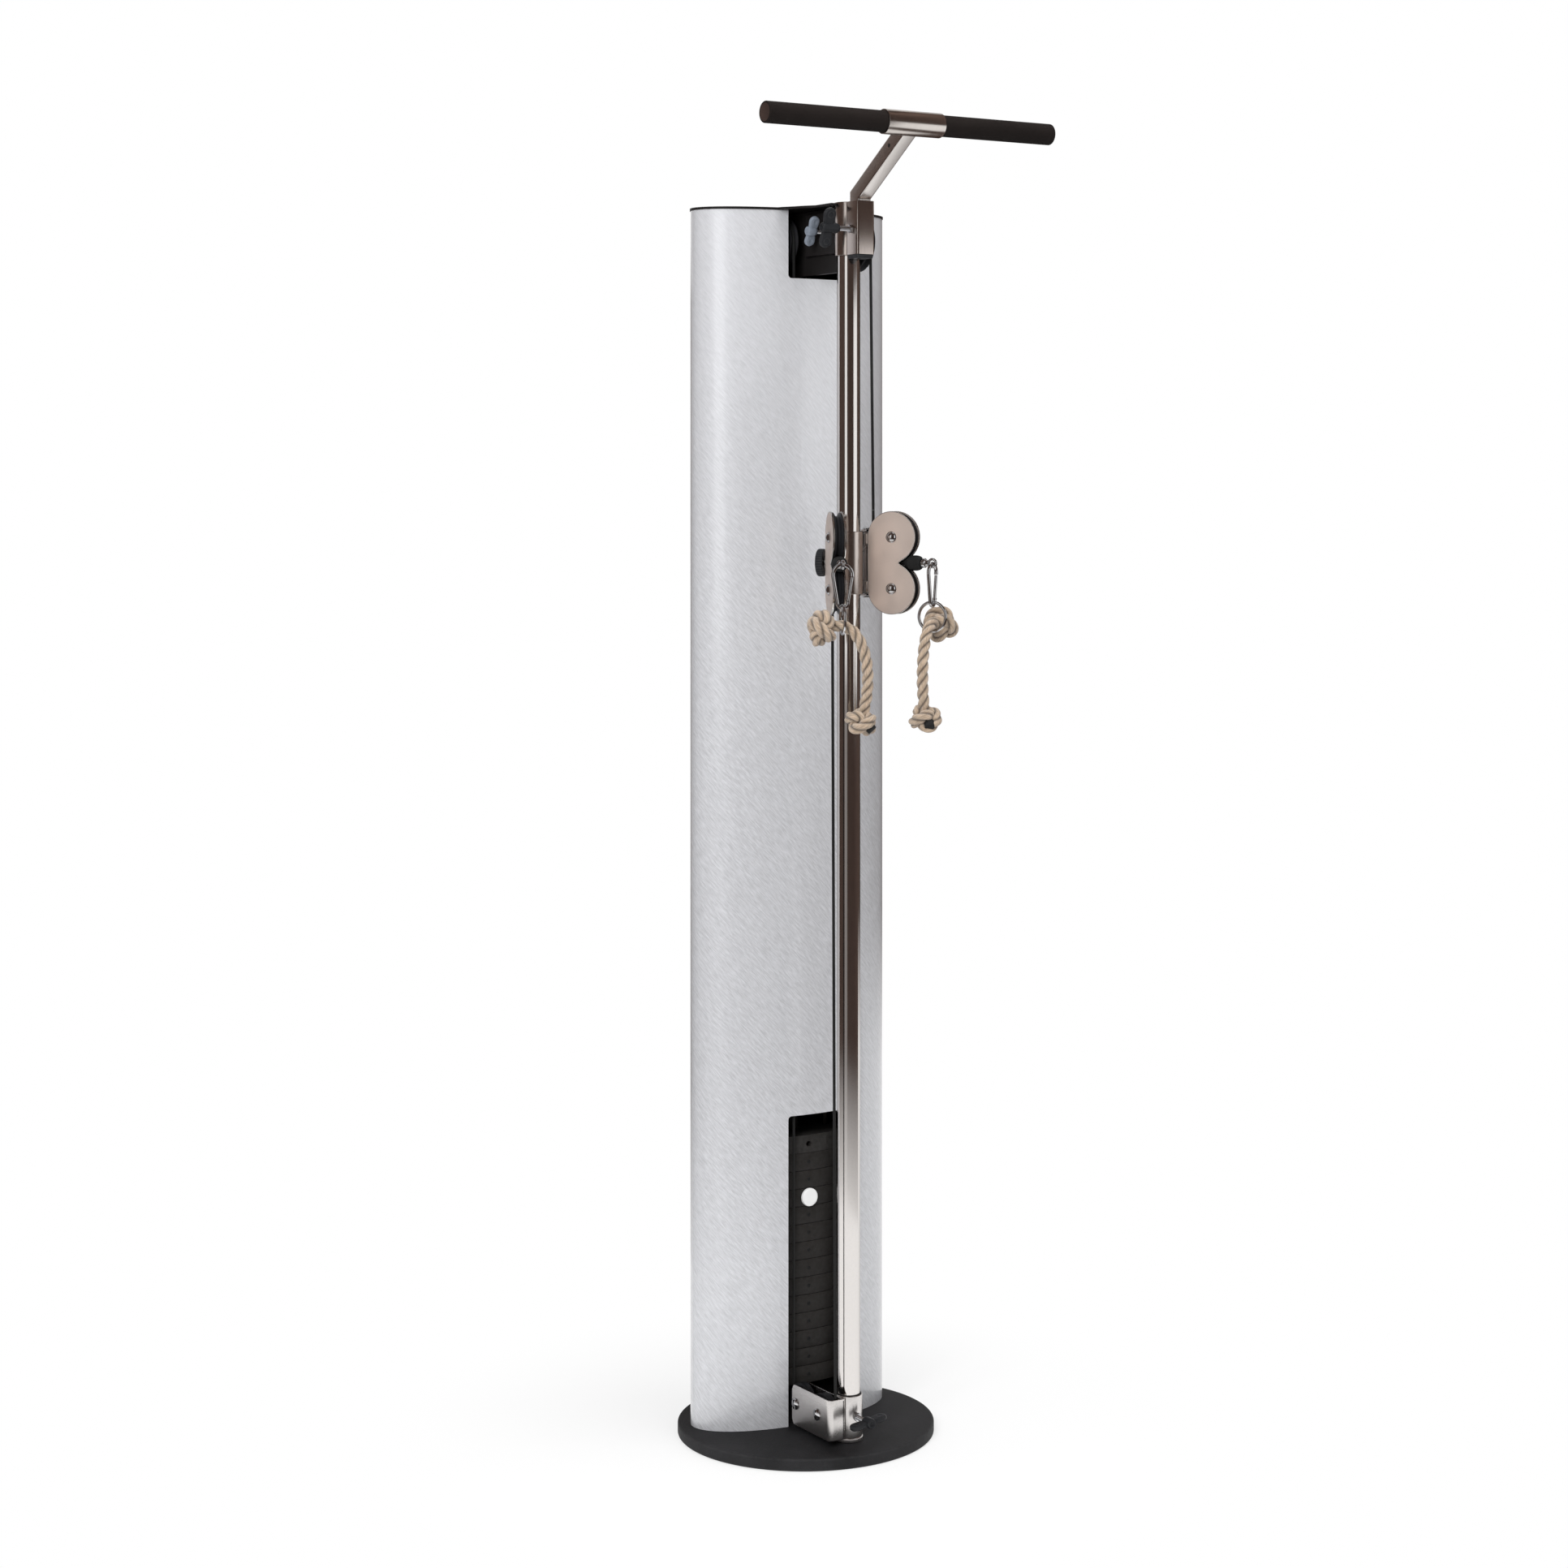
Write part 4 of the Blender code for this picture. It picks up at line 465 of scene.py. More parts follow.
def make_piece(name, surfaces, node=None, slot=None, sharp=38.0, body=None, stretch=None):
    """Joins surfaces into one mesh in the machine's axes, closes its seams and poles, and lets
    it ride on its body in place of the CAD node that it stands for. With stretch, which is
    another body and two points, it stretches from its body to that one between them."""
    finishes = list(dict.fromkeys(s.finish for s in surfaces))
    faces, marks, start = [], [], 0
    for s in surfaces:
        faces += [[i + start for i in face] for face in s.faces]
        marks += [finishes.index(s.finish)] * len(s.faces)
        start += len(s.points)
    points, uv, depth = (np.concatenate([getattr(s, part) for s in surfaces])
                         for part in ("points", "uv", "groove"))
    mesh = bpy.data.meshes.new(name)
    mesh.from_pydata(points.tolist(), [], faces)
    mesh.polygons.foreach_set("material_index", marks)
    corners = np.zeros(len(mesh.loops), np.int32)
    mesh.loops.foreach_get("vertex_index", corners)
    pattern = mesh.uv_layers.new(name="pattern")
    pattern.data.foreach_set("uv", uv[corners].astype(np.float32).ravel())
    # Each point keeps its groove depth, which hemp() reads for painted shade in the rope's grooves.
    groove = mesh.attributes.new("groove", "FLOAT", "POINT")
    groove.data.foreach_set("value", depth.astype(np.float32))
    work = bmesh.new()
    work.from_mesh(mesh)
    bmesh.ops.remove_doubles(work, verts=work.verts, dist=2e-6)
    bmesh.ops.delete(work, geom=[v for v in work.verts if not v.link_faces], context="VERTS")
    bmesh.ops.recalc_face_normals(work, faces=work.faces)
    work.to_mesh(mesh)
    work.free()
    for finish in finishes:
        mesh.materials.append(material_of(finish))
    mesh.shade_smooth()
    mesh.set_sharp_from_angle(angle=np.radians(sharp))
    obj = bpy.data.objects.new(name, mesh)
    bpy.context.scene.collection.objects.link(obj)
    body = body or body_of(node)
    if stretch:
        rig.blend(obj, body, *stretch)
    else:
        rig.ride(obj, body)
    if node:
        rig.replaces(obj, node)
    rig.slot(obj, slot)
    return obj


# Shader groups

MADE = {}


def once(maker):
    """Keeps what a maker has made already."""
    def get(*names):
        key = (maker.__name__, *names)
        if key not in MADE:
            MADE[key] = maker(*names)
        return MADE[key]
    return get


def add(tree, kind, values=None, **settings):
    """Outputs of a new node with its settings, and its inputs by name or number: values to keep
    or sockets to link."""
    node = tree.nodes.new("ShaderNode" + kind)
    for key, value in settings.items():
        setattr(node, key, value)
    for key, value in (values or {}).items():
        if isinstance(value, bpy.types.NodeSocket):
            tree.links.new(value, node.inputs[key])
        else:
            node.inputs[key].default_value = value
    return node.outputs


def math(tree, operation, *values):
    return add(tree, "Math", dict(enumerate(values)), operation=operation)[0]


def times(tree, vector, factors):
    return add(tree, "VectorMath", {0: vector, 1: factors}, operation="MULTIPLY")[0]


def noise(tree, vector, scale, detail, **values):
    return add(tree, "TexNoise", {"Vector": vector, "Scale": scale, "Detail": detail, **values})["Fac"]


def span(tree, value, low, high, start=0.0, end=1.0, **settings):
    """Value from start to end spread between two levels."""
    return add(tree, "MapRange", {"Value": value, "From Min": start, "From Max": end,
                                  "To Min": low, "To Max": high}, **settings)[0]


def mix_colour(tree, mask, dark, light):
    dark, light = (c if isinstance(c, bpy.types.NodeSocket) else (*c, 1.0) for c in (dark, light))
    return add(tree, "Mix", {0: mask, 6: dark, 7: light}, data_type="RGBA")[2]


def tinted(colour, factor):
    return [min(v * factor, 1) for v in colour]


def shader_group(name, inputs, outputs):
    """Empty node group whose first input is a vector and the others numbers. Gives its tree,
    and its sockets as they are seen inside."""
    tree = bpy.data.node_groups.new(name, "ShaderNodeTree")
    tree.interface.new_socket(name="Vector", in_out="INPUT", socket_type="NodeSocketVector")
    for label, value in inputs.items():
        socket = tree.interface.new_socket(name=label, in_out="INPUT", socket_type="NodeSocketFloat")
        socket.default_value = value
    for label in outputs:
        tree.interface.new_socket(name=label, in_out="OUTPUT", socket_type="NodeSocketFloat")
    return tree, tree.nodes.new("NodeGroupInput").outputs, tree.nodes.new("NodeGroupOutput").inputs


@once
def brushed_lines():
    """Streaks along a slanted direction: noise on a turned vector that is squeezed across
    the streaks, in a fine and a broad layer."""
    tree, given, out = shader_group("brushed_lines", {"Slant": 0.0, "Lines per metre": 400.0,
                                                      "Stretch": 12.0}, ["Lines", "Cloud"])
    turned = add(tree, "VectorRotate", {"Vector": given["Vector"], "Angle": given["Slant"]},
                 rotation_type="Z_AXIS")
    across = given["Lines per metre"]
    along = math(tree, "DIVIDE", across, given["Stretch"])
    scaled = times(tree, turned[0], add(tree, "CombineXYZ", {"X": along, "Y": across, "Z": across})[0])
    fine = noise(tree, scaled, 1.0, 3.0, Roughness=0.65)
    broad = math(tree, "MULTIPLY", noise(tree, scaled, 0.45, 1.0), 0.4)
    lines = span(tree, math(tree, "ADD", fine, broad), 0.0, 1.0, 0.53, 0.87)
    tree.links.new(lines, out["Lines"])
    tree.links.new(noise(tree, given["Vector"], 5.0, 2.0), out["Cloud"])
    return tree


@once
def surface_grain():
    """Even grain: fine noise for the relief, with a slow one for blotches and dust."""
    tree, given, out = shader_group("surface_grain", {"Grains per metre": 800.0, "Blotches per metre": 9.0},
                                    ["Grain", "Blotch"])
    fine = noise(tree, given["Vector"], given["Grains per metre"], 3.0, Roughness=0.7)
    slow = noise(tree, given["Vector"], given["Blotches per metre"], 4.0)
    tree.links.new(fine, out["Grain"])
    tree.links.new(span(tree, slow, 0.0, 1.0, 0.32, 0.68), out["Blotch"])
    return tree


@once
def edge_wear():
    """Mask that is 1 on worn convex edges, from the mesh's own pointiness."""
    tree, given, out = shader_group("edge_wear", {}, ["Wear"])
    edges = span(tree, add(tree, "NewGeometry")["Pointiness"], 0.0, 1.0, 0.51, 0.56)
    worn = math(tree, "MULTIPLY", edges, noise(tree, given["Vector"], 160.0, 3.0))
    tree.links.new(worn, out["Wear"])
    return tree


# Finishes

def looks():
    return bpy.context.scene.cable_machine_looks


def new_finish(name, roughness, metallic=0.0, **sockets):
    """Material with a Principled shader, its tree, and the places of its piece's points."""
    made = bpy.data.materials.new(name)
    made.use_nodes = True
    inputs = made.node_tree.nodes["Principled BSDF"].inputs
    inputs["Roughness"].default_value = roughness
    inputs["Metallic"].default_value = metallic
    for key, value in sockets.items():
        inputs[key.replace("_", " ")].default_value = value
    return made, made.node_tree, add(made.node_tree, "TexCoord")


def finished(made, colour, height, strength, distance, roughness=None):
    """Gives a material its colour, its relief and, where it varies, its roughness."""
    tree = made.node_tree
    inputs = tree.nodes["Principled BSDF"].inputs
    bump = add(tree, "Bump", {"Height": height, "Strength": strength, "Distance": distance})
    tree.links.new(colour, inputs["Base Color"])
    tree.links.new(bump[0], inputs["Normal"])
    if roughness is not None:
        tree.links.new(roughness, inputs["Roughness"])
    return made


def grained(tree, vector, grains, blotches=9.0):
    """Grain and blotches of a finish, so many of each per metre."""
    return add(tree, "Group", {"Vector": vector, "Grains per metre": grains, "Blotches per metre": blotches},
               node_tree=surface_grain())


def shell_metal(name):
    """Pale aluminium sheet under a clear skin, with slanted brush lines that are fainter near
    the top."""
    made, tree, place = new_finish(name, 0.4, 0.25, Coat_Weight=1.0, Coat_Roughness=0.02)
    brushed = add(tree, "Group", {"Vector": place["UV"], "Slant": looks().brush_slant, "Stretch": 9.0,
                                  "Lines per metre": looks().brush_lines}, node_tree=brushed_lines())
    lines = brushed["Lines"]
    height = add(tree, "SeparateXYZ", {0: place["Object"]})["Z"]
    strength = span(tree, height, 1.0, 0.55, 1.35, 1.85)
    fading = math(tree, "MULTIPLY_ADD", math(tree, "SUBTRACT", lines, 0.5), strength, 0.5)
    pale = looks().shell_colour
    colour = mix_colour(tree, fading, tinted(pale, 0.80), tinted(pale, 1.13))
    colour = mix_colour(tree, span(tree, brushed["Cloud"], 0.0, 0.3), colour, tinted(pale, 0.94))
    return finished(made, colour, lines, 0.10, 0.0001, span(tree, lines, 0.36, 0.48))


def steel(name, colour, roughness, grains, strength, edge=0.6, metal=1.0):
    """Bare steel with fine lines: its grains per metre on each axis, how bright its edges are
    at a glancing angle, and how much of it mirrors."""
    made, tree, place = new_finish(name, roughness, metal, Specular_Tint=(edge, edge, edge, 1.0))
    grain = grained(tree, times(tree, place["Object"], grains), 1.0, 0.02)
    colour = mix_colour(tree, grain["Grain"], tinted(colour, 0.86), tinted(colour, 1.08))
    uneven = span(tree, grain["Blotch"], roughness * 0.8, roughness * 1.35)
    return finished(made, colour, grain["Grain"], strength, 0.0003, uneven)


# Partly painted reflection: the satin plates' warm tint stands partly for the brown room they mirror.
def satin_steel(name):
    return steel(name, looks().satin_tint_and_reflection, 0.40, (1500.0, 1500.0, 1500.0), 0.06, metal=0.8)


def dark_coat(name, colour, roughness, grains, strength, distance=0.0004, wear=0.0, blotch=1.6):
    """Dark coat with grain, slow blotches in its gloss, and paler worn edges."""
    made, tree, place = new_finish(name, roughness, Specular_IOR_Level=0.16)
    grain = grained(tree, place["Object"], grains, 11.0)
    tint = mix_colour(tree, grain["Blotch"], colour, tinted(colour, blotch))
    if wear:
        worn = add(tree, "Group", {"Vector": place["Object"]}, node_tree=edge_wear())
        tint = mix_colour(tree, worn["Wear"], tint, [min(1, v + wear) for v in colour])
    uneven = span(tree, grain["Blotch"], roughness * 0.88, min(1, roughness * 1.15))
    return finished(made, tint, grain["Grain"], strength, distance, uneven)


def white_plastic(name):
    """Plain white plastic, a little uneven."""
    made, tree, place = new_finish(name, 0.35)
    grain = grained(tree, place["Object"], 1200.0)
    tint = mix_colour(tree, grain["Blotch"], (0.72, 0.72, 0.72), (0.80, 0.80, 0.80))
    return finished(made, tint, grain["Grain"], 0.1, 0.0002)


def hemp(name):
    """Twisted natural fibre: yarns along the strands, painted shade in the grooves between them, and pale hairs."""
    made, tree, place = new_finish(name, 0.88, Sheen_Weight=0.35, Sheen_Roughness=0.5)
    yarn = noise(tree, times(tree, place["UV"], (52.0, 75.0, 1.0)), 1.0, 5.0, Roughness=0.7, Distortion=0.5)
    fuzz = grained(tree, place["Object"], 1300.0, 60.0)
    groove = add(tree, "Attribute", attribute_name="groove")["Fac"]
    pale = looks().rope_colour
    straw = mix_colour(tree, span(tree, yarn, 0.0, 1.0, 0.33, 0.67), tinted(pale, 0.45), tinted(pale, 1.55))
    straw = mix_colour(tree, span(tree, fuzz["Blotch"], 0.0, 0.25), straw, (0.62, 0.51, 0.38))
    # Painted shade: points deep in a groove between the strands are coloured dark brown.
    straw = mix_colour(tree, groove, straw, (0.040, 0.024, 0.014))
    return finished(made, straw, math(tree, "ADD", yarn, fuzz["Grain"]), 1.0, 0.0016)


# Colour, roughness, grains per metre on each axis, relief, and what steel() adds
STEELS = {
    "tube_steel": ((0.82, 0.785, 0.76), 0.10, (1100.0, 1100.0, 500.0), 0.09),
    "bar_steel": ((0.72, 0.67, 0.63), 0.20, (1400.0, 90.0, 90.0), 0.03),
    "box_steel": ((0.78, 0.75, 0.73), 0.29, (300.0, 90.0, 700.0), 0.03),
    "sleeve_steel": ((0.66, 0.59, 0.55), 0.22, (1200.0, 1200.0, 60.0), 0.04),
    "bright_steel": ((0.70, 0.70, 0.71), 0.07, (500.0, 500.0, 500.0), 0.02, 0.45),
    "arm_steel": ((0.82, 0.78, 0.75), 0.26, (1300.0, 300.0, 300.0), 0.03),
    "polished_edge": ((0.86, 0.84, 0.81), 0.15, (800.0, 800.0, 800.0), 0.03),
    # Painted shade: the rods inside the column are coloured near black.
    "oiled_steel": ((0.05, 0.045, 0.04), 0.3, (900.0, 900.0, 300.0), 0.03),
    "zinc": ((0.78, 0.79, 0.81), 0.28, (900.0, 900.0, 900.0), 0.15),
    "grey_casting": ((0.25, 0.285, 0.34), 0.33, (700.0, 700.0, 700.0), 0.12, 0.6, 0.4),
    "sheet_edge": ((0.86, 0.86, 0.88), 0.35, (600.0, 600.0, 600.0), 0.03),
}
# Colour, roughness, grains per metre, relief, its depth, paler edges and paler blotches
DARK_COATS = {
    "base_coating": ((0.010, 0.0098, 0.0105), 0.62, 330.0, 0.9, 0.0008, 0.08, 2.6),
    "iron_plate": ((0.010, 0.0085, 0.0075), 0.5, 500.0, 0.3, 0.0004, 0.03),
    "black_steel": ((0.010, 0.009, 0.009), 0.42, 700.0, 0.15, 0.0003),
    "black_plastic": ((0.010, 0.0105, 0.012), 0.40, 900.0, 0.22, 0.0003, 0.03),
    "wheel_plastic": ((0.009, 0.009, 0.010), 0.36, 700.0, 0.1, 0.0003),
    "grip_foam": ((0.0088, 0.0068, 0.0062), 0.78, 1100.0, 0.7, 0.0005, 0.0, 1.5),
    "foam_end": ((0.030, 0.019, 0.016), 0.85, 1500.0, 0.6),
    "black_rubber": ((0.010, 0.010, 0.010), 0.68, 900.0, 0.35, 0.0003, 0.02),
    # Painted shade: the inside of the shell sheets is coloured near black.
    "shell_inside": ((0.06, 0.055, 0.055), 0.5, 600.0, 0.2),
    "cable_skin": ((0.010, 0.010, 0.010), 0.4, 1500.0, 0.2),
}
OTHER_FINISHES = {"shell_metal": shell_metal, "satin_steel": satin_steel, "white_plastic": white_plastic,
                  "hemp": hemp}


@once
def material_of(finish):
    if finish in STEELS:
        return steel(finish, *STEELS[finish])
    if finish in DARK_COATS:
        return dark_coat(finish, *DARK_COATS[finish])
    return OTHER_FINISHES[finish](finish)


def dress(nodes, finish):
    """Gives CAD nodes that stay in view a finish."""
    for node in nodes:
        for slot in frame["nodes"][node].material_slots:
            slot.material = material_of(finish)


# Settings

class CableMachineLooks(bpy.types.PropertyGroup):
    """Sizes and colours that a user would change."""

    brush_lines: FloatProperty(name="Brush lines", default=650.0, min=50.0, max=2000.0,
                               description="Brush lines per metre across the shell's grain")
    brush_slant: FloatProperty(name="Brush slant", description="How far the brush lines fall to the right",
                               default=np.radians(47.0), subtype="ANGLE")
    shell_colour: FloatVectorProperty(name="Shell colour", description="Colour of the column's sheet",
                                      default=(0.60, 0.605, 0.63), size=3, subtype="COLOR", min=0.0, max=1.0)
    # The warm tint is partly the steel's own and partly painted reflection of the brown room.
    satin_tint_and_reflection: FloatVectorProperty(name="Block colour", default=(0.85, 0.735, 0.665), size=3,
                                      description="Tint of the blocks' satin side plates",
                                      subtype="COLOR", min=0.0, max=1.0)
    rope_colour: FloatVectorProperty(name="Rope colour", description="Colour of the hemp ropes",
                                     default=(0.44, 0.325, 0.23), size=3, subtype="COLOR", min=0.0, max=1.0)
    rope_lay: FloatProperty(name="Rope lay", description="Length of one turn of the rope's strands",
                            default=0.054, min=0.02, max=0.2, unit="LENGTH")
    rope_strands: IntProperty(name="Rope strands", description="Strands twisted into each rope",
                              default=3, min=2, max=6)
    focal_length: FloatProperty(name="Focal length", description="Lens of the camera, in millimetres",
                                default=67.34, min=20.0, max=300.0)
    world_level: FloatProperty(name="World light", description="Level of the even light from all round",
                               default=0.50, min=0.0, max=3.0)
    lamp_power: FloatProperty(name="Lamp power", description="Power of the main soft lamp",
                              default=165.0, min=0.0, max=2000.0, unit="POWER")


# Column and base

BASE_EDGE = 0.0035
SHELL_WALL = 0.004
SHELL_JOINT_TURN = 0.0003 / 2 / COLUMN_HALF_DEPTH
# Outside, inside with painted shade, and cut edge of the column's sheets.
SHEET_FINISHES = ("shell_metal", "shell_inside", "sheet_edge")
OPENING_HALF_WIDTH = 0.050
OPENING_CORNER = 0.006
WINDOW_TOP = 0.533
NOTCH_BOTTOM = 1.919
PLATE_COUNT = 14
LIFTED_COUNT = 4
PLATE_THICKNESS = 0.029
PLATE_PITCH = 0.0295
PLATE_HALF_WIDTH = 0.105
PLATE_BOW = 0.018
PLATE_EDGE = 0.0011
PLATE_REAR = COLUMN_Y + 0.058


def sheet_at(angle, inset):
    """Points of the column's oval, half_width cos a and half_depth sin a about its centre."""
    return np.stack([(COLUMN_HALF_WIDTH - inset) * np.cos(angle),
                     COLUMN_Y + (COLUMN_HALF_DEPTH - inset) * np.sin(angle)], -1)


def upright_sheet(plan_at, low, high, rows):
    """Grid between z = low(u) and z = high(u) over each point of the plan, once for the outside
    and once for the inside."""
    outer, inner = plan_at(0), plan_at(SHELL_WALL)
    low, high = (np.broadcast_to(v, len(outer)) for v in (low, high))
    z = low + (high - low) * np.linspace(0, 1, rows)[:, None]

    def lift(plan):
        flat = np.broadcast_to(plan, (rows, *plan.shape))
        return np.concatenate([flat, z[..., None]], -1).reshape(-1, 3)
    uv = np.stack([np.broadcast_to(run_lengths(outer), z.shape), z], -1).reshape(-1, 2)
    return lift(outer), lift(inner), uv, grid_faces(rows, len(outer))


def corner_drop(x):
    """How far an opening's rounded corner falls short of its edge at x."""
    into = np.clip(np.abs(x) - (OPENING_HALF_WIDTH - OPENING_CORNER), 0, OPENING_CORNER)
    return OPENING_CORNER - np.sqrt(OPENING_CORNER ** 2 - into ** 2)


def joined_sheets(sheets):
    """Sheets side by side as one, with the points that they share made single."""
    start, faces = 0, []
    for outer, _, _, cells in sheets:
        faces.append(cells + start)
        start += len(outer)
    outer, inner, uv = (np.concatenate([s[i] for s in sheets]) for i in range(3))
    _, first, same = np.unique(np.round(outer, 6), axis=0, return_index=True, return_inverse=True)
    return outer[first], inner[first], uv[first], same.ravel()[np.concatenate(faces)]


def front_shell_surfaces():
    """Front half of the column: side sheets from foot to top, and a middle sheet between the
    window's rounded top and the notch's rounded bottom."""
    flat = OPENING_HALF_WIDTH - OPENING_CORNER
    bend = np.sin(np.linspace(0, np.pi / 2, 7)) * OPENING_CORNER
    x = np.concatenate([-flat - bend[::-1], np.linspace(-flat, flat, 17)[1:-1], flat + bend])

    def plan_of(part):
        def middle(inset):
            return sheet_at(-np.pi / 2 + np.arcsin(x / (COLUMN_HALF_WIDTH - inset)), inset)

        def side(inset):
            edge = -np.pi / 2 + part * np.arcsin(OPENING_HALF_WIDTH / (COLUMN_HALF_WIDTH - inset))
            outer = -np.pi / 2 + part * (np.pi / 2 - SHELL_JOINT_TURN)
            return sheet_at(np.linspace(*sorted((edge, outer)), 41), inset)
        return side if part else middle
    levels = (SHELL_LOW[2], WINDOW_TOP - OPENING_CORNER, NOTCH_BOTTOM + OPENING_CORNER, SHELL_HIGH[2])
    sheets, offset = [], 0.0
    for part in (-1, 0, 1):
        bands = [(WINDOW_TOP - corner_drop(x), NOTCH_BOTTOM + corner_drop(x), 9)]
        if part:
            bands = zip(levels, levels[1:], (4, 9, 2))
        for band in bands:
            outer, inner, uv, cells = upright_sheet(plan_of(part), *band)
            sheets.append((outer, inner, uv + (offset, 0.0), cells))
        offset += run_lengths(plan_of(part)(0))[-1]
    return thickened(*joined_sheets(sheets), SHEET_FINISHES)


def rear_shell_surfaces():
    """Rear half of the column: the oval's points from joint to joint, at nine heights."""
    angles = np.linspace(SHELL_JOINT_TURN, np.pi - SHELL_JOINT_TURN, 97)
    outer, inner, uv, cells = upright_sheet(lambda inset: sheet_at(angles, inset), SHELL_LOW[2],
                                            SHELL_HIGH[2], 9)
    return thickened(outer, inner, uv + (1.0, 0.0), cells, SHEET_FINISHES)


def plate_outline():
    """Weight plate from above: a bowed front, straight sides and back."""
    bow = (PLATE_HALF_WIDTH ** 2 + PLATE_BOW ** 2) / (2 * PLATE_BOW)
    reach = np.degrees(np.arcsin(PLATE_HALF_WIDTH / bow))
    front = box_of("lifted_plates")[0][1]
    line = arc_points((0.0, front + bow), bow, 270 - reach, 270 + reach, 36)
    return np.concatenate([line, [(PLATE_HALF_WIDTH, PLATE_REAR), (-PLATE_HALF_WIDTH, PLATE_REAR)]])


class MACHINE_OT_column(bpy.types.Operator):
    """Makes the column's front and rear shells from sheet, and coats its lid"""
    bl_idname = "cable_machine.column"
    bl_label = "Column shells"

    def execute(self, context):
        make_piece("front_shell_sheet", front_shell_surfaces(), "front_shell", "brushed_shell")
        make_piece("rear_shell_sheet", rear_shell_surfaces(), "rear_shell", "brushed_shell")
        dress(["top_cover", "inner_frame"], "black_steel")
        return {"FINISHED"}


class MACHINE_OT_base(bpy.types.Operator):
    """Makes the rounded base plate and the steel ring at the tube's foot"""
    bl_idname = "cable_machine.base"
    bl_label = "Base plate"

    def execute(self, context):
        low, high = box_of("base_plate")
        a = np.linspace(0, TAU, 180, endpoint=False)
        outline = np.stack([(high[0] - low[0]) / 2 * np.cos(a), (high[1] - low[1]) / 2 * np.sin(a)], -1)
        plate = slab(outline, high[2] - low[2], BASE_EDGE, "base_coating", steps=7)
        plate = moved(plate, at(0, 0, middle_of("base_plate")[2]))
        make_piece("base_slab", plate, "base_plate", "base_coating", 60)
        low, high = box_of("foot_ring")
        profile = ring_profile(TUBE_BORE, (high[0] - low[0]) / 2 - 0.001, low[2], high[2], 0.0022, 4)
        ring = revolve(profile, "box_steel", 72).moved(at(0, TUBE_Y, 0))
        make_piece("foot_ring_turned", [ring], "foot_ring", "black_rubber")
        return {"FINISHED"}


class MACHINE_OT_weight_stack(bpy.types.Operator):
    """Makes the weight plates one by one, with black discs as the painted shade of their pin holes, and the selector
    pin
    """
    bl_idname = "cable_machine.weight_stack"
    bl_label = "Weight stack"

    def execute(self, context):
        bottom, front = box_of("resting_plates")[0][2], box_of("lifted_plates")[0][1]
        plate = slab(plate_outline(), PLATE_THICKNESS, PLATE_EDGE, "iron_plate", steps=2)
        # Painted shade: each pin hole is a black disc with a low lip on the plate's front, not a cut.
        hole_shade_disc = revolve([(0, 0.00012), (0.0023, 0.00012), (0.0027, 0.0007), (0.0034, 0.0006),
                        (0.0037, -0.0004), (0, -0.0004)], "black_rubber", 20)
        groups = {"resting_plates": range(PLATE_COUNT - LIFTED_COUNT),
                  "lifted_plates": range(PLATE_COUNT - LIFTED_COUNT, PLATE_COUNT - 1)}
        for node, numbers in groups.items():
            surfaces = []
            for number in numbers:
                middle = bottom + number * PLATE_PITCH + PLATE_THICKNESS / 2
                surfaces += moved(plate, at(0, 0, middle))
                surfaces.append(hole_shade_disc.moved(axis_matrix((0, front, middle), (0, -1, 0))))
            make_piece(node + "_cast", surfaces, node, "iron_plate")
        dress(["head_plate"], "iron_plate")
        # Painted shade: the rods take a near-black steel for the dark inside of the column.
        dress(["selector_rod", "left_guide_rod", "right_guide_rod"], "oiled_steel")
        low, high = box_of("selector_pin")
        radius, head, end = (high[0] - low[0]) / 2, -low[1], -high[1]
        rim = soften([(radius * 0.80, head), (radius, head - 0.0004), (radius, head - 0.005)], 0.0015)
        profile = [(0, head), (radius * 0.55, head), *rim, (0.0042, head - 0.005), (0.004, end + 0.002),
                   (0.0024, end), (0, end)]
        centre = middle_of("selector_pin") * (1, 0, 1)
        make_piece("selector_button", [turned_at(profile, "white_plastic", centre, (0, -1, 0), 48)],
                   "selector_pin", "white_plastic")
        return {"FINISHED"}


# Wheels and cables

# Pitch radius, half width and how far the rims stand out
SMALL_WHEEL = (0.0305, 0.0065, 0.002)
REAR_WHEEL = (0.0365, 0.008, 0.0038)
BLOCK_WHEEL = (0.037, 0.0074, 0.0035)
WHEELS = {"front_top_pulley": (0.044, 0.008, 0.0038), "rear_top_pulley_right": REAR_WHEEL,
          "rear_top_pulley_left": REAR_WHEEL, "bottom_rear_pulley": SMALL_WHEEL,
          "bottom_front_pulley": SMALL_WHEEL, "travelling_pulley": (0.034, 0.008, 0.0038)}
WHEELS.update({f"{side}_{word}_pulley": BLOCK_WHEEL for side in SIDES for word in ("upper", "lower")})


def wheel_surface(pitch, half_width, flange):
    """Grooved wheel: hub disc, two round-edged rims and a groove that seats the cable."""
    bore, web, seat = 0.0045, half_width - 0.0012, 0.0026
    rim, floor = pitch + flange, pitch - 0.0027
    groove = arc_points((floor + seat, 0), seat, 125, 235, 8)
    side = [(bore, half_width), (rim * 0.42, half_width), (rim * 0.45, web), (rim * 0.80, web),
            (rim * 0.84, half_width), (rim - 0.0012, half_width), (rim, half_width - 0.0008),
            (rim, half_width - min(0.0022, half_width * 0.3))]
    profile = np.concatenate([side, groove, [(r, -h) for r, h in reversed(side)]])
    return revolve(soften(profile, 0.0005, 2), "wheel_plastic", 72)


def cable_along(line, across=(0, 1, 0)):
    """Round cable along a flat line that lies across that direction."""
    return sweep(line, round_section(CABLE_RADIUS, 14), across, "cable_skin")


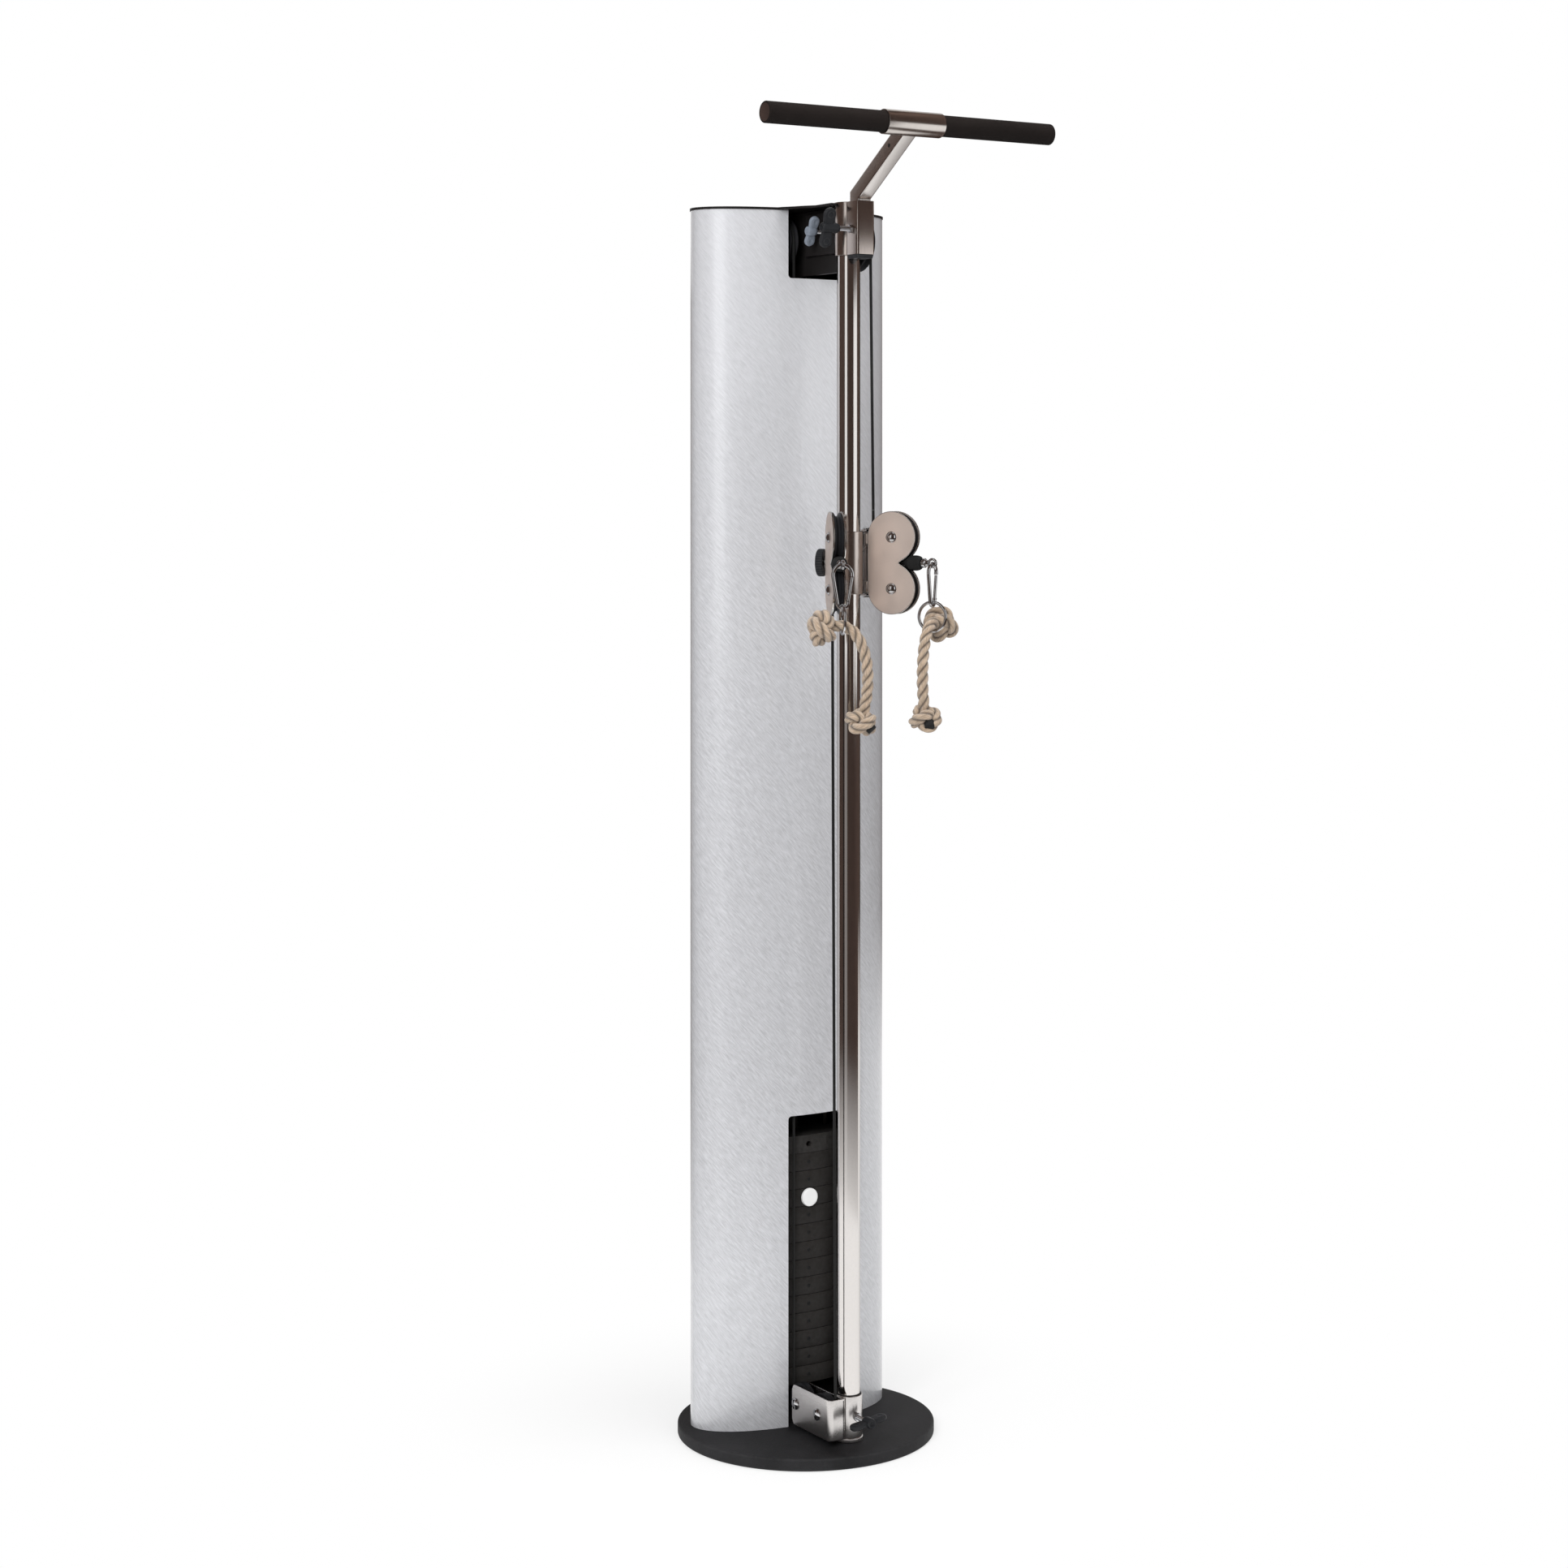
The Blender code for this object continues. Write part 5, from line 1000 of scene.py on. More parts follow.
def stretch_run(node, side):
    """Straight cable from its fixed pulley to its block, in rings that part as the carriage
    slides."""
    low, high = box_of(node)
    near, far = low + CABLE_RADIUS, high - CABLE_RADIUS
    fixed = (near[0], near[1], high[2]) if side > 0 else (far[0], near[1], low[2])
    block = (far[0], far[1], low[2]) if side > 0 else (near[0], far[1], high[2])
    make_piece(node + "_taut", [cable_along(np.linspace(fixed, block, 60))], node, "cable_skin",
               body="machine", stretch=("carriage", fixed, block))


def stretch_loop():
    """Cable that hangs in a U from the top pulleys and carries the stack's pulley."""
    low, high = box_of("stack_cable")
    radius, y = high[0] - CABLE_RADIUS, middle_of("stack_cable")[1]
    centre = low[2] + CABLE_RADIUS + radius
    straight = np.linspace(high[2], centre, 60)[:-1]
    turn = arc_points((0, centre), radius, 0, -180, 24)
    x = np.concatenate([np.full(59, radius), turn[:, 0], np.full(59, -radius)])
    z = np.concatenate([straight, turn[:, 1], straight[::-1]])
    make_piece("stack_cable_taut", [cable_along(np.column_stack([x, np.full(len(x), y), z]))], "stack_cable",
               "cable_skin", body="machine", stretch=("lifted_stack", (0.0, y, high[2]), (0.0, y, centre)))


class MACHINE_OT_wheels(bpy.types.Operator):
    """Turns the grooved wheels, and makes the cables that stretch"""
    bl_idname = "cable_machine.wheels"
    bl_label = "Wheels and cables"

    def execute(self, context):
        for node, sizes in WHEELS.items():
            wheel = wheel_surface(*sizes).moved(axis_matrix(*joint_place(node + "_spin")))
            make_piece(node + "_wheel", [wheel], node, "black_plastic")
        dress(["top_cable", "return_cable"], "cable_skin")
        for label, side in SIDES.items():
            stretch_run(label + "_cable_run", side)
        stretch_loop()
        return {"FINISHED"}


# Tube, brackets and carriage

TUBE_WALL = 0.003
BOX_FRONT = TUBE_Y - 0.020
BOX_WALL = 0.003
BOX_CORNER = 0.009
BOX_EAR = 0.008
BOX_RIGHT = -0.0215
SCREW_RADIUS = 0.0095
SCREW_DOME = 0.0042
SCREW_RIM = 0.0012
SCREW_CURVE = (SCREW_RADIUS ** 2 + (SCREW_DOME - SCREW_RIM) ** 2) / (2 * (SCREW_DOME - SCREW_RIM))
CLAMP_RADIUS = 0.0235
SLEEVE_RADIUS = 0.0237
SLEEVE_HALF = 0.051
LUG_THICKNESS = 0.003
LUG_REACH = 0.034
LUG_RADIUS = 0.009
SOCKET_WIDTH = 0.034
SOCKET_BORE = 0.0261
TONGUE_X = -0.0073
TONGUE_THICKNESS = 0.006
TONGUE_REAR = TUBE_Y + 0.116
TONGUE_MARGIN = 0.006
TONGUE_BOW = 0.008
COLLAR_RADIUS = 0.0225
SLOT_WIDTH = 0.0014
SLOT_LENGTH = 0.0150
SLOT_DEPTH = 0.0030
HOUSING_RADIUS = 0.012
HOUSING_END = 0.0395
KNOB_RADIUS = 0.0222
KNOB_LENGTH = 0.0135


class MACHINE_OT_tube(bpy.types.Operator):
    """Draws the guide tube and the top bracket: sleeve, square socket, tongue and plug"""
    bl_idname = "cable_machine.tube"
    bl_label = "Tube and top bracket"

    def execute(self, context):
        place = (0, TUBE_Y, 0)
        profile = ring_profile(TUBE_RADIUS - TUBE_WALL, TUBE_RADIUS, TUBE_LOW[2], TUBE_HIGH[2])
        make_piece("guide_tube_drawn", [turned_at(profile, "tube_steel", place, count=96)], "guide_tube",
                   "polished_steel")

        low, high = box_of("top_bracket")
        bottom, top = low[2], high[2]
        outside = soften([(0, top), (CLAMP_RADIUS, top), (CLAMP_RADIUS, bottom), (TUBE_BORE, bottom)],
                         0.0009, 3)
        inside = [(TUBE_BORE, top - 0.004), (0, top - 0.004)]
        sleeve = turned_at(np.concatenate([outside, inside]), "sleeve_steel", place, count=96)
        side = square_section(SOCKET_WIDTH, SOCKET_WIDTH, 0.0042, 5) + (0, SOCKET_Y)
        bored = square_section(SOCKET_BORE, SOCKET_BORE, 0.0012, 5) + (0, SOCKET_Y)
        socket = hollow(side, bored, bottom, top - 0.0005, "sleeve_steel", 0.0008)
        front, rear = TUBE_Y + CLAMP_RADIUS * 0.65, TONGUE_REAR
        foot, head = bottom + TONGUE_MARGIN, SHELL_HIGH[2] - TONGUE_MARGIN
        t = np.linspace(0, 1, 13)
        back = np.stack([rear - TONGUE_BOW * np.sin(np.pi * t), foot + (head - foot) * t], -1)
        outline = np.concatenate([[(front, foot)], back, [(front, head)]])
        tongue = moved(slab(outline, TONGUE_THICKNESS, 0.0005, "black_steel"),
                       at(TONGUE_X, 0, 0) @ SIDEWAYS)
        make_piece("top_bracket_welded", [sleeve, socket, *tongue], "top_bracket", "polished_steel")

        low = box_of("socket_plug")[0][2]
        surfaces = []
        for width, a, b in ((0.029, low, low + 0.0035), (0.0315, low + 0.003, bottom - SEAT_GAP),
                            (0.0248, bottom - 0.001, bottom + 0.004)):
            step = slab(square_section(width, width, 0.003), b - a, 0.0007, "black_plastic")
            surfaces += moved(step, at(0, SOCKET_Y, (a + b) / 2))
        make_piece("socket_plug_moulded", surfaces, "socket_plug", "black_plastic")
        return {"FINISHED"}


class MACHINE_OT_bottom_bracket(bpy.types.Operator):
    """Folds the pulley box at the tube's foot, with its collar and its slotted screws"""
    bl_idname = "cable_machine.bottom_bracket"
    bl_label = "Bottom bracket"

    def execute(self, context):
        low, high = box_of("bottom_bracket")
        left, right = low[0], BOX_RIGHT
        front, rear = BOX_FRONT, high[1]
        corner = (left + BOX_CORNER, front + BOX_CORNER)
        inset = BOX_WALL / 2
        plan = np.concatenate([
            np.linspace((left + inset, rear), (left + inset, corner[1]), 26)[:-1],
            arc_points(corner, BOX_CORNER - inset, 180, 270, 10),
            np.linspace((corner[0], front + inset), (right, front + inset), 6)[1:]])
        box_low, box_high = low[2] + SEAT_GAP, high[2] - 0.0011
        ear = BOX_EAR - np.sqrt(BOX_EAR ** 2 - np.clip(BOX_EAR - run_lengths(plan), 0, BOX_EAR) ** 2)
        section = square_section(BOX_WALL, 2.0, 0.0009, 3)
        above = np.sign(section[:, 1])
        heights = above[None] * ((box_high - box_low) / 2 - ear)[:, None] + (section[:, 1] - above)[None]
        sections = np.stack([np.broadcast_to(section[:, 0], heights.shape), heights], -1)
        path = np.column_stack([plan, np.full(len(plan), (box_low + box_high) / 2)])
        folded = sweep(path, sections, (0, 0, 1), "box_steel")
        lay = at(right - inset, (rear + front) / 2, (box_high + box_low) / 2) @ SIDEWAYS
        wall = moved(slab(square_section(rear - front, box_high - box_low, 0.003), BOX_WALL, 0.0007,
                          "box_steel"), lay)
        collar = turned_at(ring_profile(TUBE_BORE, COLLAR_RADIUS, low[2], high[2], 0.0012), "box_steel",
                           (0, TUBE_Y, 0), count=96)
        seam = turned_at(ring_profile(TUBE_RADIUS + 0.0001, TUBE_RADIUS + 0.0013, high[2] - 0.0004,
                                      high[2] + 0.0008, 0.0003), "black_rubber", (0, TUBE_Y, 0), count=96)
        make_piece("bottom_bracket_folded", [folded, *wall, collar, seam], "bottom_bracket", "polished_steel")

        face, inner = -left + SEAT_GAP, -right + BOX_WALL + SEAT_GAP
        head = arc_points((0.0, face + SCREW_DOME - SCREW_CURVE), SCREW_CURVE, 90, 55, 8)
        profile = [*head[:-1], (SCREW_RADIUS, face + SCREW_RIM), (SCREW_RADIUS, face), (0.0046, face),
                   (0.0046, inner), (0, inner)]
        # Painted shade: each screw's slot is a black slab set into the dome, not a cut.
        slot = slab(square_section(SLOT_WIDTH, SLOT_LENGTH, 0.0006), SLOT_DEPTH, 0.0003, "black_steel")
        slot_at = SLOT_DEPTH / 2 - 0.0001 - face - SCREW_DOME
        for word in ("rear", "front"):
            y, z = joint_place(f"bottom_{word}_pulley_spin")[0][1:]
            screw = turned_at(profile, "bright_steel", (0, y, z), (-1, 0, 0), 48)
            node = f"bottom_{word}_screw"
            make_piece(node + "_dome", [screw, *moved(slot, at(slot_at, y, z) @ SIDEWAYS)],
                       node, "polished_steel")
        return {"FINISHED"}


class MACHINE_OT_carriage(bpy.types.Operator):
    """Turns the sliding sleeve with its lugs, hinge pins and knob housing, and the ribbed knob"""
    bl_idname = "cable_machine.carriage"
    bl_label = "Carriage and knob"

    def execute(self, context):
        centre = (0, TUBE_Y, HINGE_HEIGHT)
        surfaces = [turned_at(ring_profile(TUBE_BORE, SLEEVE_RADIUS, -SLEEVE_HALF, SLEEVE_HALF, 0.0010),
                              "sleeve_steel", centre, count=96)]
        outline = np.concatenate([arc_points((LUG_REACH, 0), LUG_RADIUS, -90, 90, 14),
                                  arc_points((-LUG_REACH, 0), LUG_RADIUS, 90, 270, 14)])
        lug = slab(outline, LUG_THICKNESS, 0.0005, "bright_steel")
        top = SLEEVE_HALF + LUG_THICKNESS
        pin = [(0, top + 0.0042), (0.0034, top + 0.0040), (0.0062, top + 0.0024), (0.0070, top),
               (0.003, top), (0.003, 0.0282), (0.0058, 0.0280), (0.0058, -0.0280), (0.003, -0.0282),
               (0.003, -top - 0.001), (0.0062, -top - 0.001), (0.0058, -top - 0.003),
               (0, -top - 0.0034)]
        for sign in (-1, 1):
            surfaces += moved(lug, at(0, TUBE_Y, HINGE_HEIGHT + sign * (SLEEVE_HALF + LUG_THICKNESS / 2)))
            surfaces.append(turned_at(pin, "zinc", (sign * LUG_REACH, TUBE_Y, HINGE_HEIGHT), count=32))
        axis = joint_place("locking_knob_pull")[1]
        housing = ring_profile(0.0043, HOUSING_RADIUS, 0.020, HOUSING_END)
        surfaces.append(turned_at(housing, "box_steel", centre, axis, 48))
        make_piece("carriage_turned", surfaces, "carriage_sleeve", "polished_steel")

        cap, radius = HOUSING_END + SEAT_GAP, KNOB_RADIUS
        end = cap + KNOB_LENGTH
        profile = [(0, end - 0.0016), (0.007, end - 0.0016), (0.0085, end), (0.0175, end - 0.0006),
                   *arc_points((radius - 0.004, end - 0.0052), 0.004, 70, 0, 5), (radius, cap + 0.0012),
                   (radius - 0.001, cap), (0.004, cap), (0.004, 0.0197), (0, 0.0197)]
        knob = turned_at(profile, "black_plastic", centre, axis, 192, ribs=32, rib_depth=0.0004)
        make_piece("locking_knob_ribbed", [knob], "locking_knob", "black_plastic")
        return {"FINISHED"}


# T handle and wing screws

ARM_SIZE = 0.0255
BAR_SLEEVE_HALF = 0.054
BAR_SLEEVE_RADIUS = 0.0199
GRIP_RADIUS = 0.0172
GRIP_START = 0.0245
GRIP_BEAD = 0.0009
THREAD_PITCH = 0.00125
NUT_RADIUS = 0.0068
NUT_THICKNESS = 0.005
PADDLE_THICKNESS = 0.0078


def handle_arm_surfaces():
    """Square tube from the socket to a mitred bend and on to the bar, the bar's sleeve, and a black disc on each side
    as the painted shade of the arm's cross hole.
    """
    bend = np.array([0.0, SOCKET_Y, box_of("top_bracket")[1][2] + 0.009])
    end = middle_of("left_grip") * (0, 1, 1)
    slope = (end - bend) / np.linalg.norm(end - bend)
    x, y = square_section(ARM_SIZE, ARM_SIZE, 0.0030, 6).T
    low = np.column_stack([x, SOCKET_Y + y, np.full(len(x), box_of("handle_arm")[0][2])])
    normal = slope + (0, 0, 1)
    mitre = np.column_stack([x, SOCKET_Y + y, bend[2] - normal[1] / normal[2] * y])
    across = np.array([0.0, -slope[2], slope[1]])
    far = end - slope * 0.004 + x[:, None] * (1.0, 0.0, 0.0) - y[:, None] * across
    faces = grid_faces(3, len(x), False, True).tolist() + end_caps(3, len(x))
    surfaces = [Surface(np.concatenate([low, mitre, far]), faces, None, "arm_steel")]
    profile = ring_profile(0.0176, BAR_SLEEVE_RADIUS, -BAR_SLEEVE_HALF, BAR_SLEEVE_HALF, 0.0007)
    surfaces.append(turned_at(profile, "bar_steel", end, (1, 0, 0), 96))
    # Painted shade: a black disc on each side of the arm stands for its cross hole.
    rim = [(0, 0.00012), (0.0030, 0.00012), (0.0032, 0.00005), (0.0032, -0.001), (0, -0.001)]
    for sign in (-1, 1):
        place = bend + slope * 0.124 + (sign * ARM_SIZE / 2, 0, 0)
        surfaces.append(turned_at(rim, "black_rubber", place, (sign, 0, 0), 32))
    return surfaces


class MACHINE_OT_handle(bpy.types.Operator):
    """Makes the bent square arm, the bar's sleeve and the two foam grips"""
    bl_idname = "cable_machine.handle"
    bl_label = "T handle"

    def execute(self, context):
        make_piece("handle_arm_mitred", handle_arm_surfaces(), "handle_arm", "satin_steel", 30)
        for side, sign in SIDES.items():
            node = side + "_grip"
            low, high = box_of(node)
            radius, end = GRIP_RADIUS, max(abs(low[0]), abs(high[0]))
            lip = soften([(radius - 0.0026, end), (radius, end - 0.0006), (radius, end - 0.006)], 0.0014, 4)
            skin = [(radius - 0.003, end - 0.0004), *lip, (radius, 0.060), (radius + GRIP_BEAD, 0.0560),
                    (radius + GRIP_BEAD, 0.0545), (radius, 0.0540), (radius, GRIP_START), (0, GRIP_START)]
            disc = [(0, end - 0.0013), (radius - 0.0042, end - 0.0011), (radius - 0.003, end - 0.0004)]
            surfaces = []
            for profile, finish in ((skin, "grip_foam"), (disc, "foam_end")):
                turned = turned_at(profile, finish, middle_of(node) * (0, 1, 1), (sign, 0, 0), 72)
                turned.faces = turned.faces[:(len(profile) - 1) * 72]
                surfaces.append(turned)
            make_piece(node + "_foam", surfaces, node, "black_rubber", 50)
        return {"FINISHED"}


def wing_outline(width_over, width, waist):
    """Stadium of that width over all, drawn in near its middle by waist exp(-(x / 0.2 W)^2)."""
    radius = width / 2
    straight = np.linspace(radius - width_over / 2, width_over / 2 - radius, 16)
    line = np.concatenate([arc_points((width_over / 2 - radius, 0), radius, -90, 90, 16),
                           np.column_stack([straight[::-1], np.full(16, radius)])[1:-1],
                           arc_points((radius - width_over / 2, 0), radius, 90, 270, 16),
                           np.column_stack([straight, np.full(16, -radius)])[1:-1]])
    line[:, 1] *= 1 - waist * np.exp(-(line[:, 0] / (0.2 * width_over)) ** 2)
    return line


def wing_surfaces(sizes, finish, bolt_start, nut_at):
    """Wing screw about Z: threaded bolt, nut, hub and two rounded paddles with dished ends."""
    width_over, width, hub_length, bolt_length = sizes
    hub, bolt, end = 0.0085, 0.004, bolt_length + hub_length
    profile = soften([(0, end - 0.0022), (hub * 0.30, end - 0.0020), (hub * 0.62, end),
                      (hub * 0.86, end - 0.0004), (hub, end - 0.004), (hub, bolt_length + 0.005),
                      (hub * 0.74, bolt_length), (0, bolt_length)], 0.0012, 3)
    turns = max(int((bolt_length - bolt_start) / THREAD_PITCH), 1)
    z = np.linspace(bolt_length, bolt_start, 2 * turns + 1)
    thread = np.column_stack([bolt - 0.0004 * (np.arange(len(z)) % 2), z])
    shank = np.concatenate([[(0, bolt_length + 0.001)], thread, [(0, bolt_start)]])
    surfaces = [revolve(profile, finish, 48), revolve(shank, "zinc", 24)]
    if nut_at is not None:
        nut = slab(round_section(NUT_RADIUS, 6), NUT_THICKNESS, 0.0005, "zinc")
        surfaces += moved(nut, at(0, 0, nut_at))
    middle = end - width / 2 - 0.001
    paddles = slab(wing_outline(width_over, width, 0.28), PADDLE_THICKNESS, 0.0030, finish, steps=5)
    surfaces += moved(paddles, at(0, 0, middle) @ FACING)
    radius = width * 0.24
    rim = [(0, 0.00015), (radius * 0.8, 0.00015), (radius, 0.0005), (radius * 1.12, 0.0), (0, -0.0008)]
    rim = revolve(rim, finish, 28)
    for sign in (-1, 1):
        for face in (-1, 1):
            place = at(sign * (width_over - width) / 2, face * (PADDLE_THICKNESS / 2 - 0.00005), middle)
            surfaces.append(rim.moved(place @ Matrix.Rotation(-face * np.pi / 2, 4, "X")))
    return surfaces


TO_LEFT = Matrix.Rotation(-np.pi / 2, 4, "Y")
TO_FRONT = Matrix.Rotation(np.pi / 2, 4, "X")
# Place in plan, direction, tilt in degrees, sizes, where the bolt starts, the nut's place, finish
WING_SCREWS = {
    "handle": (0, SOCKET_Y, TO_LEFT, -18.0, (0.066, 0.022, 0.033, 0.042), 0.0134, 0.0200, "black_plastic"),
    "bracket": (-0.0106, TUBE_Y + 0.062, TO_LEFT, -26.0, (0.052, 0.0185, 0.018, 0.013), 0.0, None,
                "grey_casting"),
    "collar": (0, TUBE_Y - 0.0228, TO_FRONT, 9.0, (0.068, 0.022, 0.022, 0.025), 0.0, 0.0030, "black_plastic"),
}


class MACHINE_OT_wing_screws(bpy.types.Operator):
    """Makes the three wing screws with their bolts and nuts"""
    bl_idname = "cable_machine.wing_screws"
    bl_label = "Wing screws"

    def execute(self, context):
        for word, (x, y, turn, tilt, sizes, start, nut, finish) in WING_SCREWS.items():
            node = word + "_wing_screw"
            place = at(x, y, joint_place(word + "_wing_turn")[0][2])
            surfaces = moved(wing_surfaces(sizes, finish, start, nut),
                             place @ turn @ Matrix.Rotation(np.radians(tilt), 4, "Z"))
            make_piece(node + "_moulded", surfaces, node, "black_plastic", 45)
        return {"FINISHED"}


# Pulley blocks

BLOCK_AHEAD = -0.050
BLOCK_RISE = 0.042
LOBE_RADIUS = 0.042
CHEEK_INNER = 0.008
CHEEK_THICKNESS = 0.003
NOTCH_DEPTH = 0.0118
NOTCH_FILLET = 0.004
BARREL_TOP = 0.0504
BARREL_HEIGHT = 0.022
BARREL_RADIUS = 0.008
EYE_AHEAD = 0.118
STOPPER_START = 0.0695
STOPPER_END = 0.100


def cheek_outline():
    """Side plate in (y, z) about the hinge: two lobes, straight behind, with a filleted notch
    in front whose sides touch the lobes."""
    touch = 90 + 2 * np.degrees(np.arctan2(BLOCK_RISE, NOTCH_DEPTH))
    upper = arc_points((BLOCK_AHEAD, BLOCK_RISE), LOBE_RADIUS, 0, touch, 56)
    notch = np.array([BLOCK_AHEAD - NOTCH_DEPTH, 0.0])
    step = upper[-1] - notch
    start = notch + step / np.linalg.norm(step) * NOTCH_FILLET
    t = np.linspace(0, 1, 7)[:, None]
    fillet = (1 - t) ** 2 * start + 2 * t * (1 - t) * notch + t ** 2 * (start * (1, -1))
    return np.concatenate([upper, fillet, (upper * (1, -1))[::-1]])


def block_frame_surfaces():
    """Two side plates, and above and below a hinge barrel with a fin that holds them to it."""
    cheek = slab(cheek_outline(), CHEEK_THICKNESS, 0.0006, "satin_steel", "polished_edge")
    fin = slab(square_section(0.020, BARREL_HEIGHT - 0.004, 0.0015), 0.005, 0.0006, "polished_edge")
    surfaces, radius = [], BARREL_RADIUS
    for sign in (-1, 1):
        surfaces += moved(cheek, at(sign * (CHEEK_INNER + CHEEK_THICKNESS / 2), 0, 0) @ SIDEWAYS)
    for sign in (-1, 1):
        low, top = sorted((sign * (BARREL_TOP - BARREL_HEIGHT), sign * BARREL_TOP))
        lips = [(0.0036, low), (radius, low), (radius, low + 0.0028), (radius - 0.0009, low + 0.0034),
                (radius - 0.0009, top - 0.0034), (radius, top - 0.0028), (radius, top), (0.0036, top)]
        surfaces.append(revolve(soften(lips, 0.0004, 2, True), "zinc", 40))
        surfaces += moved(fin, at(0, BLOCK_AHEAD + LOBE_RADIUS + 0.0017, (low + top) / 2) @ FACING)
    return surfaces


def axle_profile():
    """Domed screw head on each end of an axle, with a thin washer lip below each dome."""
    outer, head = CHEEK_INNER + CHEEK_THICKNESS + SEAT_GAP, 0.009
    dome = arc_points((0.0, outer - 0.0032), head, 90, 30, 9)
    half = np.concatenate([dome, [(head - 0.0008, outer + 0.0012), (head, outer + 0.0007), (head, outer),
                                  (0.004, outer)]])
    return np.concatenate([half, half[::-1] * (1, -1)])


def cable_end_path(side):
    """Cable in a block, in (y, z): down behind a wheel, round it and out to the stopper."""
    radius = BLOCK_WHEEL[0]
    aim = np.array([-STOPPER_START, 0.0])
    away = aim - (BLOCK_AHEAD, BLOCK_RISE)
    leave = np.arcsin(radius / np.linalg.norm(away)) + np.arctan2(-away[0], -away[1])
    a = np.linspace(0, leave, 25)
    turn = np.stack([BLOCK_AHEAD + radius * np.cos(a), BLOCK_RISE - radius * np.sin(a)], -1)
    start = (BLOCK_AHEAD + radius, BLOCK_RISE + LOBE_RADIUS + 0.0017)
    line = np.concatenate([[start], turn, [aim, (-STOPPER_END - 0.003, 0.0)]])
    line[:, 1] *= side
    return np.column_stack([np.zeros(len(line)), line])


def wire_ring(radius, height, wire, count, columns):
    """Round wire along the circle radius (cos a, sin a) in the plane of a block's eye."""
    a = np.linspace(0, TAU, count, endpoint=False)
    line = np.column_stack([np.zeros(count), radius * np.cos(a) - EYE_AHEAD, height + radius * np.sin(a)])
    return sweep(line, round_section(wire, columns), (1, 0, 0), "bright_steel", True)


class MACHINE_OT_blocks(bpy.types.Operator):
    """Makes both pulley blocks: side plates, hinge barrels, axles, stoppers and cable ends"""
    bl_idname = "cable_machine.blocks"
    bl_label = "Pulley blocks"

    def execute(self, context):
        start, end = STOPPER_START, STOPPER_END
        frame_parts = block_frame_surfaces()
        axle = revolve(axle_profile(), "bright_steel", 48)
        forward = axis_matrix((0, 0, 0), (0, -1, 0))
        stopper = soften([(0.0027, end), (0.0080, end), (0.0110, end - 0.0026), (0.0125, end - 0.008),
                          (0.0125, start + 0.0105), (0.0055, start), (0.0027, start)], 0.0022, 4, True)
        stopper = revolve(stopper, "black_rubber", 56).moved(forward)
        ferrule = soften([(0, end + 0.0003), (0.0078, end + 0.0003), (0.0078, end + 0.0062),
                          (0.0056, end + 0.0078), (0.0048, end + 0.0115), (0, end + 0.0115)], 0.0010, 3)
        ferrule = revolve(ferrule, "bright_steel", 40).moved(forward)
        eye = wire_ring(EYE_RADIUS, 0.0, EYE_WIRE, 40, 14)
        for label, side in SIDES.items():
            place = block_matrix(label)
            make_piece(label + "_block_plates", moved(frame_parts, place), label + "_block_frame",
                       "satin_steel")
            for word, z in (("upper", BLOCK_RISE), ("lower", -BLOCK_RISE)):
                node = f"{label}_{word}_axle"
                turn = place @ axis_matrix((0, BLOCK_AHEAD, z), (1, 0, 0))
                make_piece(node + "_domes", [axle.moved(turn)], node, "polished_steel")
            make_piece(label + "_stopper_rubber", [stopper.moved(place)], label + "_cable_stopper",
                       "black_rubber")
            cable = cable_along(cable_end_path(side), (1, 0, 0))
            make_piece(label + "_cable_end_fitted", moved([cable, ferrule, eye], place), label + "_cable_end",
                       "polished_steel")
        return {"FINISHED"}


# Hooks, rings and ropes

EYE_RADIUS = 0.0064
EYE_WIRE = 0.0021
HOOK_WIRE = 0.0030
HOOK_TOP = 0.0155
HOOK_BOTTOM = 0.0085
HOOK_BETWEEN = 0.0445
GATE_WIRE = 0.0026
RIVET_RADIUS = 0.0016
RIVET_HALF = 0.0034
RING_RADIUS = 0.0235
RING_WIRE = 0.0025
RUNNING_GAP = 0.0006
CROWN = HOOK_WIRE + RUNNING_GAP - (EYE_RADIUS - EYE_WIRE)
FOOT = CROWN - HOOK_TOP - HOOK_BETWEEN - HOOK_BOTTOM
RING_CENTRE = FOOT + HOOK_WIRE + RING_WIRE + RUNNING_GAP - RING_RADIUS
ROPE_RADIUS = 0.0095
ROPE_TOP = RING_CENTRE - RING_RADIUS + RING_WIRE + ROPE_RADIUS + SEAT_GAP
ROPE_SWING = 0.040
ROPE_DROP = 0.152
KNOT_ASIDE = 0.034
TAPE_RADIUS = 0.0080
TAPE_LENGTH = 0.012
# Sideways in parts of the swing and up in parts of the drop, from the upper knot to the lower
ROPE_STEPS = ((-KNOT_ASIDE / ROPE_SWING, -0.02), (-0.40, 0.003), (0.0, 0.004), (0.35, -0.04),
              (0.625, -0.125), (0.825, -0.237), (0.95, -0.362), (1.0, -0.493), (1.0, -0.625),
              (0.95, -0.75), (0.85, -0.88), (0.75, -1.0))


def in_block(flat):
    """A drawing in (x, z) stood in the plane of a block's eye."""
    flat = np.asarray(flat, float)
    return np.column_stack([flat[:, 0], np.full(len(flat), -EYE_AHEAD), flat[:, 1]])


